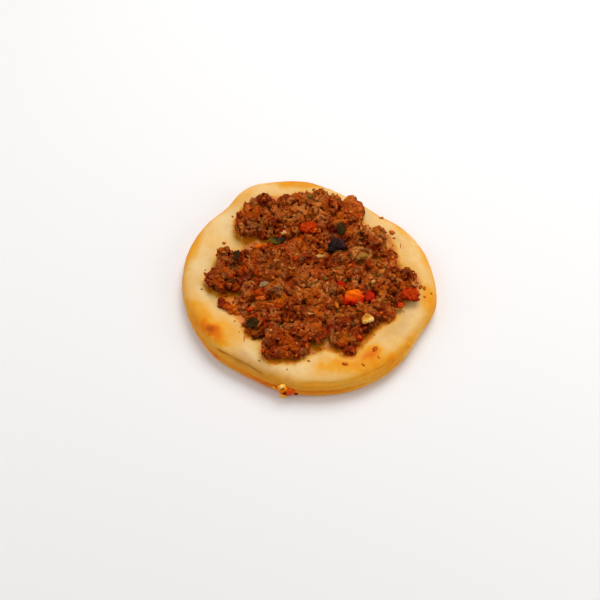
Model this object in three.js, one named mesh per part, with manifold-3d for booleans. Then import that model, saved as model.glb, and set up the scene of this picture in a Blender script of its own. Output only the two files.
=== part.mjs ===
// A small round lahmacun: a thick round of baked dough that carries an uneven heap of spiced minced meat, with pieces
// of tomato, pepper, olive, onion, garlic and herb leaf in the heap.
// Lengths are in millimetres, angles in degrees, and +Z is up. The origin is the middle of the flat underside.
import * as THREE from 'three';
import { ImprovedNoise } from 'three/addons/math/ImprovedNoise.js';
import { mergeVertices } from 'three/addons/utils/BufferGeometryUtils.js';
import Module from 'manifold-3d';

const wasm = await Module();
wasm.setup();

// ---- Driving dimensions: the dough ----

// The outline's radius at every 15 degrees, anticlockwise from +X.
const RIM_RADII = [
  54.9, 53.2, 50.8, 47.3, 47.7, 49.7, 53.6, 55.8, 57.7, 54, 55, 55.5,
  55.3, 54.8, 54.3, 54, 52.8, 53.7, 54.4, 55.2, 55.4, 54.8, 54.1, 56.1,
];
const SPOKES = 72;
const RIM_HEIGHT = 10.2;
const BED_HEIGHT = 7.5; // the dough's height under the meat
// The dough's section, from the edge of the flat underside up the side, over the rim and down to the bed under the
// meat: [distance in from the outline, height].
const SECTION = [
  [3.2, 0], [1.3, 0.5], [0.35, 1.9], [0, 3.8], [0.3, 5.6], [0.8, 7], [1.6, 8.3],
  [3, 9.4], [5, 10], [8, RIM_HEIGHT], [12, 9.8], [16.5, 9], [21.5, 8.1], [26.5, 7.6],
];
const SHOULDER = 6; // the section's points from this one on lie on the dough's top, and the ones before it on the side
// Swells and dips of the rim: where, how far round they reach, and how much higher or lower the rim is there.
const RIM_SWELLS = [
  { at: 212, reach: 24, rise: 1.2 },
  { at: 118, reach: 16, rise: 0.7 },
  { at: 140, reach: 12, rise: -0.7 },
  { at: 52, reach: 20, rise: -0.5 },
  { at: 5, reach: 20, rise: 0.4 },
  { at: 300, reach: 26, rise: 0.3 },
];
// A fold round the front left, where the top skin laps over the side: where, how far round, and how far in it cuts.
const FOLD = { at: 237, reach: 16, depth: 1 };
// A crumb of topping baked onto the foot of the side: its bearing, how far past the outline it sits, and its size.
const FOOT_CRUMB = { at: 260.6, out: -1, height: 2.9, size: [9.2, 5.2, 6.4], seed: 7 };

// ---- Driving dimensions: the minced meat ----

const MEAT_GAP = 0.3; // clearance between touching pieces
// The heap's lobes, each a blunt dome: middle, radius and how high it stands over the dough.
const LOBES = [
  { x: 0, y: -2, radius: 28, lift: 4.4 },
  { x: -20.7, y: 31, radius: 11.4, lift: 6.4 },
  { x: -24.6, y: 26, radius: 7.8, lift: 5.6 },
  { x: -17.5, y: 25.5, radius: 7, lift: 4.8 },
  { x: -3.5, y: 33.2, radius: 10.4, lift: 4.8 },
  { x: -9.5, y: 33.5, radius: 7.2, lift: 4.6 },
  { x: 3.4, y: 36, radius: 7.8, lift: 4.6 },
  { x: 11, y: 35.2, radius: 8.4, lift: 4.6 },
  { x: 17.4, y: 27.4, radius: 8.4, lift: 4.4 },
  { x: -8, y: 24, radius: 9, lift: 4.2 },
  { x: 8, y: 25, radius: 9.5, lift: 4.6 },
  { x: 19, y: 20, radius: 8.5, lift: 4.8 },
  { x: 30.5, y: 18.3, radius: 5.6, lift: 4.2 },
  { x: 29, y: 12.4, radius: 7.6, lift: 4.6 },
  { x: 39.6, y: -5.6, radius: 7.8, lift: 4.8 },
  { x: 40, y: -10.6, radius: 6.8, lift: 4.2 },
  { x: 30, y: -5, radius: 10.4, lift: 4.6 },
  { x: 36.6, y: -15.2, radius: 4.8, lift: 3.6 },
  { x: 35, y: 3.4, radius: 5.6, lift: 3.8 },
  { x: 27, y: 3.4, radius: 6, lift: 4.2 },
  { x: 25.2, y: -18.5, radius: 9.4, lift: 4.4 },
  { x: 19.6, y: -25, radius: 9, lift: 4.6 },
  { x: 13.6, y: -30.4, radius: 8.4, lift: 4.6 },
  { x: 3.4, y: -29, radius: 6, lift: 4 },
  { x: -7.4, y: -34.8, radius: 10, lift: 4.8 },
  { x: -14.2, y: -35.2, radius: 6.9, lift: 4.6 },
  { x: -19, y: -23.6, radius: 8.2, lift: 4.9 },
  { x: -22.6, y: -12, radius: 8.4, lift: 4 },
  { x: -36.9, y: -4.8, radius: 7.7, lift: 5.6 },
  { x: -33.8, y: 2.8, radius: 7.8, lift: 5.4 },
  { x: -28.4, y: -6.4, radius: 5.6, lift: 3.8 },
  { x: -26.6, y: 4.2, radius: 8.4, lift: 4.8 },
  { x: -20.4, y: 7.4, radius: 8.4, lift: 4.4 },
];
const CORE_INSET = 1.1; // the core stops this far inside the lobes, and the grains reach out to their edges
const DOME_BLUNTNESS = 0.34;
const CORE_CELL = 2.8;
const CORE_RELIEF = [{ height: 2.4, width: 6.3 }, { height: 1.6, width: 3.1 }];
const RELIEF_SLICE = 0.5; // which slice of the solid noise the relief is cut from
const THINNEST_MEAT = 1.5; // the least the core stands over the dough anywhere inside the lobes
const CORE_FLOOR = 4.5; // the core's blank starts here, inside the dough, before the dough is cut out of it
const OPEN_LEVEL = 5; // top of the blank outside the lobes, still inside the dough
// Grains of mince fused to the core, the largest first: size across, how many, and how close two may lie.
const GRAINS = [
  { size: 6, count: 20, spacing: 9 },
  { size: 4.6, count: 48, spacing: 5.8 },
  { size: 3.6, count: 36, spacing: 4.4 },
];
const GRAIN_TRIES = 400; // throws for each grain before its place is given up
const EDGE_SHARE = 0.3; // a grain's middle keeps this share of its size inside the lobe's edge and over the dough
const GRAIN_PROUD = 0.04; // share of a grain's size that its middle stands over the core
const GRAIN_EXTENT = { length: [1, 1.35], width: [0.8, 1], height: [0.7, 0.95] }; // shares of a grain's size
const GRAIN_TILT = 0.6; // radians either way
const GRAIN_SEED = 41;

// ---- Driving dimensions: the pieces in the heap ----

// Each piece's middle, its [length, width, height], its turn about Z, and the share of its height that shows.
// boxiness 2 is round and 5 is nearly square, bend is how far the middle bows out of the line of the ends, and lean
// is how far the far side is tipped up.
const PIECES = [
  { name: 'tomato_piece', at: [18.8, -13.1], size: [8.8, 6.8, 5], turn: -6, lean: 8, shows: 0.62,
    boxiness: 3.4, bend: 0.4, colour: 0xd9480f, detail: 2 },
  { name: 'red_pepper_piece_1', at: [25.7, -12.7], size: [4.2, 4.4, 3], turn: 6, lean: 0, shows: 0.55,
    boxiness: 3, bend: 0.3, colour: 0xa81d10, detail: 1 },
  { name: 'red_pepper_piece_2', at: [13.4, -7.3], size: [4.2, 3.2, 2.6], turn: -30, lean: 0, shows: 0.6,
    boxiness: 3, bend: 0.4, colour: 0xa81d10, detail: 1 },
  { name: 'olive_piece', at: [12.2, 12.4], size: [8.4, 7, 4.6], turn: 18, lean: 6, shows: 0.55,
    boxiness: 2.5, bend: 0.9, colour: 0x30202a, detail: 2 },
  { name: 'garlic_piece', at: [23.8, -25.5], size: [5.6, 4.6, 3.2], turn: 20, lean: 0, shows: 0.6,
    boxiness: 2.4, bend: 0.5, colour: 0xd9a75a, detail: 1 },
  { name: 'green_pepper_piece_1', at: [23.4, 8.4], size: [6.8, 3.8, 2.8], turn: 14, lean: 0, shows: 0.55,
    boxiness: 2.8, bend: 0.7, colour: 0x8f7a2c, detail: 1 },
  { name: 'green_pepper_piece_2', at: [-13.9, 16.6], size: [7, 3.4, 2.6], turn: 4, lean: 0, shows: 0.55,
    boxiness: 2.6, bend: -0.5, colour: 0x47501a, detail: 1 },
  { name: 'onion_piece_1', at: [-18.9, -6.3], size: [4.8, 3.6, 2], turn: 25, lean: 0, shows: 0.6,
    boxiness: 2.6, bend: 0.5, colour: 0xb39a80, detail: 1 },
  { name: 'onion_piece_2', at: [-14.2, -10.9], size: [6, 3.6, 2.2], turn: -28, lean: 0, shows: 0.6,
    boxiness: 2.6, bend: 0.8, colour: 0xb39a80, detail: 1 },
  { name: 'tomato_pulp_1', at: [42.4, -13.4], size: [7.6, 5.2, 3], turn: -10, lean: 0, shows: 0.55,
    boxiness: 2.3, bend: 0.3, colour: 0xa52a0c, detail: 1 },
  { name: 'tomato_pulp_2', at: [0.2, 24], size: [8, 5.6, 3], turn: 10, lean: 0, shows: 0.45,
    boxiness: 2.3, bend: 0.3, colour: 0xb23c0c, detail: 1 },
  { name: 'carrot_sliver', at: [11.8, -15.1], size: [5.2, 2, 1.8], turn: 84, lean: 0, shows: 0.65,
    boxiness: 3, bend: 0.3, colour: 0xc96a1a, detail: 1 },
  { name: 'crusty_mince_chip', at: [20.2, 33], size: [10.4, 8.8, 7.4], turn: -14, lean: 14, shows: 0.52,
    boxiness: 2.5, bend: 0.5, colour: 0x7d3614, detail: 2 },
];
// Leaves lie on the heap: middle, [length, width], turn about Z, and how far the tip and the edges curl.
const LEAVES = [
  { name: 'herb_leaf_1', at: [-31.2, 6.2], size: [5.4, 3], turn: 80, curl: 0.7, ripple: 0.4, colour: 0x242a12 },
  { name: 'herb_leaf_2', at: [-23, -26.6], size: [5.8, 4.4], turn: 25, curl: 0.8, ripple: 0.4, colour: 0x353018 },
  { name: 'herb_leaf_3', at: [14.4, 20.8], size: [6, 4], turn: 100, curl: 0.8, ripple: 0.5, colour: 0x1f160e },
];
const LEAF_THICKNESS = 0.6;
const LEAF_CELLS = [6, 4];
const LEAF_LIFT = 0.9; // a leaf's middle stands this far over the core
const LEAF_WAVES = { along: 3.2, across: 2.1 };
const LEAF_TIP = { share: 0.25, fullness: 0.96 }; // width left at the tips, and how round the sides are between them
// A crumb of mince that lies by itself on the dough: two lumps grown together.
const STRAY_CRUMB = { at: [-34.6, -17.2], size: [8.4, 4.6, 4.2], turn: -33, seed: 23 };
const STRAY_LUMP = { share: 0.56, apart: 0.26, rise: 0.3 }; // shares of the crumb's length, and of its height
const KNOBBLY = 0.15; // how far a lump's corners stray from an even ball
const [COARSE, FINE] = [0, 1]; // how finely a lump's ball is divided

// ---- Materials ----

const matt = (colour, roughness) => new THREE.MeshStandardMaterial({ color: colour, roughness, metalness: 0 });
const DOUGH_LOOK = matt(0xe3b06c, 0.6);
const MEAT_LOOK = matt(0x80300f, 0.55);

// ---- Small helpers ----

const radians = THREE.MathUtils.degToRad;
const random = THREE.MathUtils.seededRandom;
const relief = new ImprovedNoise();
const MERGE_DISTANCE = 1e-4; // corners closer than this are one corner

/** A number between low and high from the seeded draw. */
const between = (low, high) => low + (high - low) * random();

/** A bump that is 1 at the angle `at` and falls smoothly to 0 at `reach` either side of it. */
function bump(angle, at, reach) {
  const away = Math.abs(THREE.MathUtils.euclideanModulo(angle - at + 180, 360) - 180);
  return away >= reach ? 0 : 0.5 + 0.5 * Math.cos((Math.PI * away) / reach);
}

/** The height at `distance` on a rising list of [distance, height], straight between its points. */
function heightAlong(points, distance) {
  const next = points.findIndex(([d]) => d >= distance);
  if (next < 0) return points.at(-1)[1];
  if (next === 0) return points[0][1];
  const [d0, h0] = points[next - 1];
  const [d1, h1] = points[next];
  return h0 + ((h1 - h0) * (distance - d0)) / (d1 - d0);
}

/** A closed geometry of numbered corners and faces as a manifold solid. */
function solidOf(geometry) {
  geometry.deleteAttribute('normal');
  geometry.deleteAttribute('uv');
  const merged = mergeVertices(geometry, MERGE_DISTANCE);
  return new wasm.Manifold(new wasm.Mesh({
    numProp: 3,
    vertProperties: merged.attributes.position.array,
    triVerts: new Uint32Array(merged.index.array),
  }));
}

/** A closed geometry from a list of [x, y, z] corners and a list of three-cornered faces. */
function geometryOf(corners, faces) {
  const geometry = new THREE.BufferGeometry();
  geometry.setAttribute('position', new THREE.Float32BufferAttribute(corners.flat(), 3));
  geometry.setIndex(faces.flat());
  return geometry;
}

/** A solid's largest body, outer skin only, so that loose scraps are dropped and sealed hollows are filled. */
function largestBody(solid) {
  return solid.decompose().reduce((best, body) => (body.volume() > best.volume() ? body : best));
}

/** A named mesh that shows a solid. */
function meshOf(name, solid, look) {
  const { vertProperties, triVerts } = solid.getMesh();
  const geometry = new THREE.BufferGeometry();
  geometry.setAttribute('position', new THREE.BufferAttribute(vertProperties, 3));
  geometry.setIndex(new THREE.BufferAttribute(triVerts, 1));
  geometry.computeVertexNormals();
  const mesh = new THREE.Mesh(geometry, look);
  mesh.name = name;
  return mesh;
}

/** A lump with random knobs: a ball of 20 * (detail + 1)^2 faces, stretched to `size` and turned. */
function lump(size, detail, middle, turn) {
  const geometry = new THREE.IcosahedronGeometry(0.5, detail);
  geometry.deleteAttribute('normal');
  geometry.deleteAttribute('uv');
  const merged = mergeVertices(geometry, MERGE_DISTANCE);
  const corner = new THREE.Vector3();
  for (let i = 0; i < merged.attributes.position.count; i++) {
    corner.fromBufferAttribute(merged.attributes.position, i).multiplyScalar(between(1 - KNOBBLY, 1 + KNOBBLY));
    merged.attributes.position.setXYZ(i, corner.x, corner.y, corner.z);
  }
  merged.scale(...size);
  merged.applyMatrix4(new THREE.Matrix4().makeRotationFromEuler(turn));
  merged.translate(...middle);
  return solidOf(merged);
}

// ---- The dough ----

/** The outline's radius at an angle, smooth through the driving radii. */
function rimRadius(angle) {
  const share = THREE.MathUtils.euclideanModulo(angle, 360) / (360 / RIM_RADII.length);
  const first = Math.floor(share);
  const at = (k) => RIM_RADII[(first + k + RIM_RADII.length) % RIM_RADII.length];
  const t = share - first;
  const [a, b, c, d] = [at(-1), at(0), at(1), at(2)];
  return b + 0.5 * t * (c - a + t * (2 * a - 5 * b + 4 * c - d + t * (3 * (b - c) + d - a)));
}

/** The section at an angle: the driving section with the rim's swells and the fold of the side worked in. */
function sectionAt(angle) {
  const rise = RIM_SWELLS.reduce((sum, swell) => sum + swell.rise * bump(angle, swell.at, swell.reach), 0);
  const fold = bump(angle, FOLD.at, FOLD.reach) * FOLD.depth;
  return SECTION.map(([inset, height], level) => {
    const share = Math.max(0, height - BED_HEIGHT) / (RIM_HEIGHT - BED_HEIGHT);
    return [inset + (level === SHOULDER ? fold : 0), height + rise * share];
  });
}

/** The dough's height at a point of its top. */
function doughHeight(x, y) {
  const angle = THREE.MathUtils.radToDeg(Math.atan2(y, x));
  return heightAlong(sectionAt(angle).slice(SHOULDER), rimRadius(angle) - Math.hypot(x, y));
}

/** The dough: rings of the section's points round the outline, closed by the flat underside and the bed. */
function doughSolid() {
  const corners = [];
  for (let spoke = 0; spoke < SPOKES; spoke++) {
    const angle = (360 / SPOKES) * spoke;
    const radius = rimRadius(angle);
    for (const [inset, height] of sectionAt(angle)) {
      corners.push([
        (radius - inset) * Math.cos(radians(angle)),
        (radius - inset) * Math.sin(radians(angle)),
        height,
      ]);
    }
  }
  const rings = SECTION.length;
  const corner = (spoke, ring) => (spoke % SPOKES) * rings + ring;
  const underside = corners.push([0, 0, 0]) - 1;
  const bed = corners.push([0, 0, BED_HEIGHT]) - 1;
  const faces = [];
  for (let spoke = 0; spoke < SPOKES; spoke++) {
    faces.push([underside, corner(spoke + 1, 0), corner(spoke, 0)]);
    for (let ring = 0; ring < rings - 1; ring++) {
      const [a, b, c, d] = [
        corner(spoke, ring), corner(spoke + 1, ring), corner(spoke + 1, ring + 1), corner(spoke, ring + 1),
      ];
      faces.push([a, b, c], [a, c, d]);
    }
    faces.push([bed, corner(spoke, rings - 1), corner(spoke + 1, rings - 1)]);
  }
  return solidOf(geometryOf(corners, faces));
}

/** The crumb baked onto the foot of the dough's side. */
function footCrumb() {
  random(FOOT_CRUMB.seed);
  const reach = rimRadius(FOOT_CRUMB.at) + FOOT_CRUMB.out;
  const middle = [
    reach * Math.cos(radians(FOOT_CRUMB.at)), reach * Math.sin(radians(FOOT_CRUMB.at)), FOOT_CRUMB.height,
  ];
  return lump(FOOT_CRUMB.size, FINE, middle, new THREE.Euler(0, 0, radians(FOOT_CRUMB.at + 90)));
}

// ---- The minced meat ----

/** How high the heap stands over the dough at a point, with its lobes drawn in by `inset`. */
function heapLift(x, y, inset) {
  return LOBES.reduce((highest, lobe) => {
    const share = Math.hypot(x - lobe.x, y - lobe.y) / (lobe.radius - inset);
    return share >= 1 ? highest : Math.max(highest, lobe.lift * (1 - share * share) ** DOME_BLUNTNESS);
  }, 0);
}

/** The height of the heap's core at a point, with its bumps, or the core's floor where there is no heap. */
function coreHeight(x, y) {
  const lift = heapLift(x, y, CORE_INSET);
  if (lift === 0) return OPEN_LEVEL;
  const bumps = CORE_RELIEF.reduce(
    (sum, { height, width }) => sum + height * relief.noise(x / width, y / width, RELIEF_SLICE), 0,
  );
  return doughHeight(x, y) + Math.max(THINNEST_MEAT, lift + bumps);
}

/** The heap's core before the dough is cut out of it: a block with a flat floor and the heap's top. */
function coreBlank() {
  const reach = Math.max(...LOBES.map((lobe) => Math.hypot(lobe.x, lobe.y) + lobe.radius));
  const cells = Math.ceil((2 * reach) / CORE_CELL);
  const at = (k) => (k - cells / 2) * CORE_CELL;
  const corners = [];
  for (const level of ['floor', 'top']) {
    for (let row = 0; row <= cells; row++) {
      for (let column = 0; column <= cells; column++) {
        const shift = row % 2 ? 0.25 * CORE_CELL : -0.25 * CORE_CELL; // rows in a triangle pattern
        const [x, y] = [at(column) + shift, at(row)];
        corners.push([x, y, level === 'floor' ? CORE_FLOOR : coreHeight(x, y)]);
      }
    }
  }
  const corner = (layer, row, column) => layer * (cells + 1) ** 2 + row * (cells + 1) + column;
  const faces = [];
  for (let row = 0; row < cells; row++) {
    for (let column = 0; column < cells; column++) {
      for (const layer of [0, 1]) {
        const [a, b, c, d] = [
          corner(layer, row, column), corner(layer, row, column + 1),
          corner(layer, row + 1, column + 1), corner(layer, row + 1, column),
        ];
        const split = row % 2 ? [[a, b, c], [a, c, d]] : [[a, b, d], [b, c, d]];
        faces.push(...split.map((face) => (layer ? face : face.toReversed())));
      }
    }
  }
  for (let k = 0; k < cells; k++) {
    const walls = [
      [[0, k], [0, k + 1]], [[k, cells], [k + 1, cells]], [[cells, k + 1], [cells, k]], [[k + 1, 0], [k, 0]],
    ];
    for (const [[r0, c0], [r1, c1]] of walls) {
      const [a, b, c, d] = [corner(0, r0, c0), corner(0, r1, c1), corner(1, r1, c1), corner(1, r0, c0)];
      faces.push([a, b, c], [a, c, d]);
    }
  }
  return solidOf(geometryOf(corners, faces));
}

/** Places for the grains, spread by seeded throws that keep their distance: the largest first. */
function grainPlaces() {
  random(GRAIN_SEED);
  const places = [];
  const reach = Math.max(...RIM_RADII);
  for (const { size, count, spacing } of GRAINS) {
    let left = count;
    for (let tries = 0; left > 0 && tries < GRAIN_TRIES * count; tries++) {
      const [x, y] = [between(-reach, reach), between(-reach, reach)];
      const crowded = places.some((p) => Math.hypot(p.x - x, p.y - y) < 0.5 * (spacing + p.spacing));
      const covers = [...PIECES, ...LEAVES].some(({ at, size: [length, width] }) =>
        Math.hypot(at[0] - x, at[1] - y) < 0.5 * (0.5 * (length + width) + size));
      if (crowded || covers || heapLift(x, y, EDGE_SHARE * size) === 0) continue;
      places.push({ x, y, size, spacing });
      left -= 1;
    }
  }
  return places;
}

/** One grain of mince on the core. */
function grain({ x, y, size }) {
  const { length, width, height } = GRAIN_EXTENT;
  const extent = [length, width, height].map((range) => size * between(...range));
  const tilt = () => between(-GRAIN_TILT, GRAIN_TILT);
  const turn = new THREE.Euler(tilt(), tilt(), between(0, 2 * Math.PI));
  const z = Math.max(doughHeight(x, y) + EDGE_SHARE * size, coreHeight(x, y) + GRAIN_PROUD * size);
  return lump(extent, COARSE, [x, y, z], turn);
}

// ---- The pieces in the heap ----

/** A diced or torn piece: a rounded box whose length bows by `bend`, grown on every side by `grow`. */
function pieceSolid(piece, grow) {
  const [length, width, height] = piece.size.map((extent) => extent / 2 + grow);
  const geometry = new THREE.IcosahedronGeometry(1, piece.detail);
  const corner = new THREE.Vector3();
  const positions = geometry.attributes.position;
  for (let i = 0; i < positions.count; i++) {
    corner.fromBufferAttribute(positions, i);
    const powers = [corner.x, corner.y, corner.z].map((c) => Math.abs(c) ** piece.boxiness);
    corner.divideScalar((powers[0] + powers[1] + powers[2]) ** (1 / piece.boxiness));
    const bow = piece.bend * (1 - 2 * corner.x * corner.x);
    positions.setXYZ(i, corner.x * length, corner.y * width + bow, corner.z * height);
  }
  geometry.rotateX(radians(piece.lean));
  geometry.rotateZ(radians(piece.turn));
  geometry.translate(...piece.at, coreHeight(...piece.at) + piece.size[2] * (piece.shows - 0.5));
  return solidOf(geometry);
}

/** A leaf: a thin wavy sheet with pointed ends, both faces split alike, grown on every side by `grow`. */
function leafSolid(leaf, grow) {
  const [along, across] = LEAF_CELLS;
  const half = LEAF_THICKNESS / 2 + grow;
  const middle = coreHeight(...leaf.at) + LEAF_LIFT;
  const spin = new THREE.Matrix4().makeRotationZ(radians(leaf.turn)).setPosition(...leaf.at, middle);
  const corners = [];
  for (const side of [-1, 1]) {
    for (let i = 0; i <= along; i++) {
      for (let j = 0; j <= across; j++) {
        const [u, v] = [(2 * i) / along - 1, (2 * j) / across - 1];
        const outline = LEAF_TIP.share + (1 - LEAF_TIP.share) * Math.sqrt(1 - LEAF_TIP.fullness * u * u);
        const wave = leaf.ripple * Math.sin(LEAF_WAVES.along * u + LEAF_WAVES.across * v) - leaf.curl * u * u;
        corners.push(new THREE.Vector3(
          u * (leaf.size[0] / 2 + grow),
          v * outline * (leaf.size[1] / 2 + grow),
          wave + side * half,
        ).applyMatrix4(spin).toArray());
      }
    }
  }
  const corner = (layer, i, j) => layer * (along + 1) * (across + 1) + i * (across + 1) + j;
  const faces = [];
  for (let i = 0; i < along; i++) {
    for (let j = 0; j < across; j++) {
      for (const layer of [0, 1]) {
        const [a, b, c, d] = [
          corner(layer, i, j), corner(layer, i + 1, j), corner(layer, i + 1, j + 1), corner(layer, i, j + 1),
        ];
        const split = [[a, b, c], [a, c, d]];
        faces.push(...split.map((face) => (layer ? face : face.toReversed())));
      }
    }
  }
  const edge = [
    ...Array.from({ length: along }, (_, i) => [i, 0]),
    ...Array.from({ length: across }, (_, j) => [along, j]),
    ...Array.from({ length: along }, (_, i) => [along - i, across]),
    ...Array.from({ length: across }, (_, j) => [0, across - j]),
  ];
  edge.forEach(([i0, j0], k) => {
    const [i1, j1] = edge[(k + 1) % edge.length];
    const [a, b, c, d] = [corner(0, i0, j0), corner(0, i1, j1), corner(1, i1, j1), corner(1, i0, j0)];
    faces.push([a, b, c], [a, c, d]);
  });
  return solidOf(geometryOf(corners, faces));
}

/** The crumb that lies by itself on the dough. */
function strayCrumb() {
  random(STRAY_CRUMB.seed);
  const [length, width, height] = STRAY_CRUMB.size;
  const turn = new THREE.Euler(0, 0, radians(STRAY_CRUMB.turn));
  const lumps = [-1, 1].map((end) => {
    const offset = new THREE.Vector3(STRAY_LUMP.apart * length * end, 0, 0).applyEuler(turn);
    const [x, y] = [STRAY_CRUMB.at[0] + offset.x, STRAY_CRUMB.at[1] + offset.y];
    const z = doughHeight(x, y) + STRAY_LUMP.rise * height;
    return lump([STRAY_LUMP.share * length, width, height], FINE, [x, y, z], turn);
  });
  return lumps[0].add(lumps[1]);
}

// ---- The whole ----

const bareDough = doughSolid();
const dough = largestBody(bareDough.add(footCrumb()).trimByPlane([0, 0, 1], 0));
const raisedDough = bareDough.translate([0, 0, MEAT_GAP]);

const parts = [
  ...PIECES.map((piece) => ({ ...piece, roughness: 0.4, make: (grow) => pieceSolid(piece, grow) })),
  ...LEAVES.map((leaf) => ({ ...leaf, roughness: 0.6, make: (grow) => leafSolid(leaf, grow) })),
];
const fused = grainPlaces().map(grain).reduce((heap, one) => heap.add(one), coreBlank());
const bareMeat = fused.subtract(raisedDough);
const meat = largestBody(parts.reduce((heap, part) => heap.subtract(part.make(MEAT_GAP)), bareMeat));

const lahmacun = new THREE.Group();
lahmacun.add(meshOf('dough', dough, DOUGH_LOOK));
lahmacun.add(meshOf('minced_meat', meat, MEAT_LOOK));
lahmacun.add(meshOf('stray_meat_crumb', largestBody(strayCrumb().subtract(raisedDough)), MEAT_LOOK));
for (const part of parts) {
  const cut = largestBody(part.make(0).subtract(raisedDough));
  lahmacun.add(meshOf(part.name, cut, matt(part.colour, part.roughness)));
}

export default lahmacun;
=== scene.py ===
"""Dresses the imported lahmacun: a round of baked dough under an uneven heap of spiced mince.

Lengths are in millimetres until a piece is made, angles are in degrees, and +Z is up. Every piece
rides on the one body, keeps to the solid that it replaces, and has a material made of nodes.
"""
import functools
import itertools
import logging
import math
from dataclasses import dataclass, field
from enum import Enum
from typing import Any, Callable, Iterable, Mapping, Sequence

import bmesh
import bpy
import numpy as np
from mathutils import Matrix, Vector
from mathutils.bvhtree import BVHTree


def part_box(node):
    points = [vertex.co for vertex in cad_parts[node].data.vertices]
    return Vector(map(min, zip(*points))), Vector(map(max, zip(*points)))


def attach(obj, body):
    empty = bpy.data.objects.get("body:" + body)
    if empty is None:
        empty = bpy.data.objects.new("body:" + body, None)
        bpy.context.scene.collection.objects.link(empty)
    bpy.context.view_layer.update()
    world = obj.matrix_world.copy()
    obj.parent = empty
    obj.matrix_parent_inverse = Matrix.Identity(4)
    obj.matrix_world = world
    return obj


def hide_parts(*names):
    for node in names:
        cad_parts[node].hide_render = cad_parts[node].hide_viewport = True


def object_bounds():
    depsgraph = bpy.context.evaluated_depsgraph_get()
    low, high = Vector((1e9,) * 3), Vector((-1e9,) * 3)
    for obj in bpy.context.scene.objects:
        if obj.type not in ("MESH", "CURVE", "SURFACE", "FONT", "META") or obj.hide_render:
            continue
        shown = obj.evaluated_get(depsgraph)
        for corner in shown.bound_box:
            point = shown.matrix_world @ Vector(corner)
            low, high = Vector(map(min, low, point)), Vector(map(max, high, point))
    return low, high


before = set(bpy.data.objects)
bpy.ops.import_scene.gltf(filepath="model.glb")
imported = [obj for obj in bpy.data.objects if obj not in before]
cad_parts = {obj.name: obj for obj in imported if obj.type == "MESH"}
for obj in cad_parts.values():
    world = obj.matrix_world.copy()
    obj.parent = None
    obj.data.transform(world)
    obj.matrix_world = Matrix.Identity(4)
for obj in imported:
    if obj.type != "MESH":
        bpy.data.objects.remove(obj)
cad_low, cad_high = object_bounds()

log = logging.getLogger("lahmacun")

Array = np.ndarray
Srgb = tuple[int, int, int]
Stop = tuple[float, Srgb]
Nearness = Callable[[Array], Array]

BODY = "root"
MM = 0.001  # metres in a millimetre
LOW = np.array(cad_low) / MM
HIGH = np.array(cad_high) / MM
TINY = 1e-12  # keeps a division from running into zero


# ---- Numbers and noise ----


def smooth_step(value: Array, start: float, end: float) -> Array:
    """A smooth climb from 0 at `start` to 1 at `end`; `end` may be the lower one.

    Args:
        value: where on the climb.
        start: value at the foot of the climb.
        end: value at its top.

    Returns:
        The share climbed, between 0 and 1.
    """
    share = np.clip((value - start) / (end - start), 0, 1)
    return share * share * (3 - 2 * share)


def bell(value: Array, middle: Any, width: float) -> Array:
    """1 where a value is at the middle, falling smoothly to 0 on either side of it."""
    return np.exp(-(((value - middle) / width) ** 2))


def through(knots: Iterable[Array], t: Array) -> Array:
    """Where a smooth curve through four knots is, at a share t of its way between the inner two."""
    a, b, c, d = knots
    return b + 0.5 * t * (c - a + t * (2 * a - 5 * b + 4 * c - d + t * (3 * (b - c) + d - a)))


def turned(points: Array, angle: float) -> Array:
    """Points turned about Z by an angle in degrees.

    Args:
        points: (n, 2 or 3) places.
        angle: degrees, anticlockwise seen from above.

    Returns:
        The turned places.
    """
    cosine, sine = math.cos(math.radians(angle)), math.sin(math.radians(angle))
    out = np.array(points, float)
    out[:, 0] = cosine * points[:, 0] - sine * points[:, 1]
    out[:, 1] = sine * points[:, 0] + cosine * points[:, 1]
    return out


def turns(angles: Iterable[float]) -> Array:
    """The axes of lumps that are turned about Z by angles in degrees."""
    return np.stack([turned(np.eye(3), angle) for angle in angles])


def box_of(node: str) -> tuple[Array, Array]:
    """The lowest and the highest corner of a solid's box, in millimetres."""
    low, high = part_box(node)
    return np.array(low) / MM, np.array(high) / MM


def table(kind: Callable[..., Any], axes: int, *rows: Sequence[float]) -> tuple[Any, ...]:
    """Makes one thing from each row of numbers.

    Args:
        kind: what each row makes.
        axes: how many numbers its middle has; its half extents have as many.
        rows: each one's middle, half extents, and the rest of its numbers.

    Returns:
        The things.
    """
    return tuple(kind(row[:axes], row[axes:2 * axes], *row[2 * axes:]) for row in rows)


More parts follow.
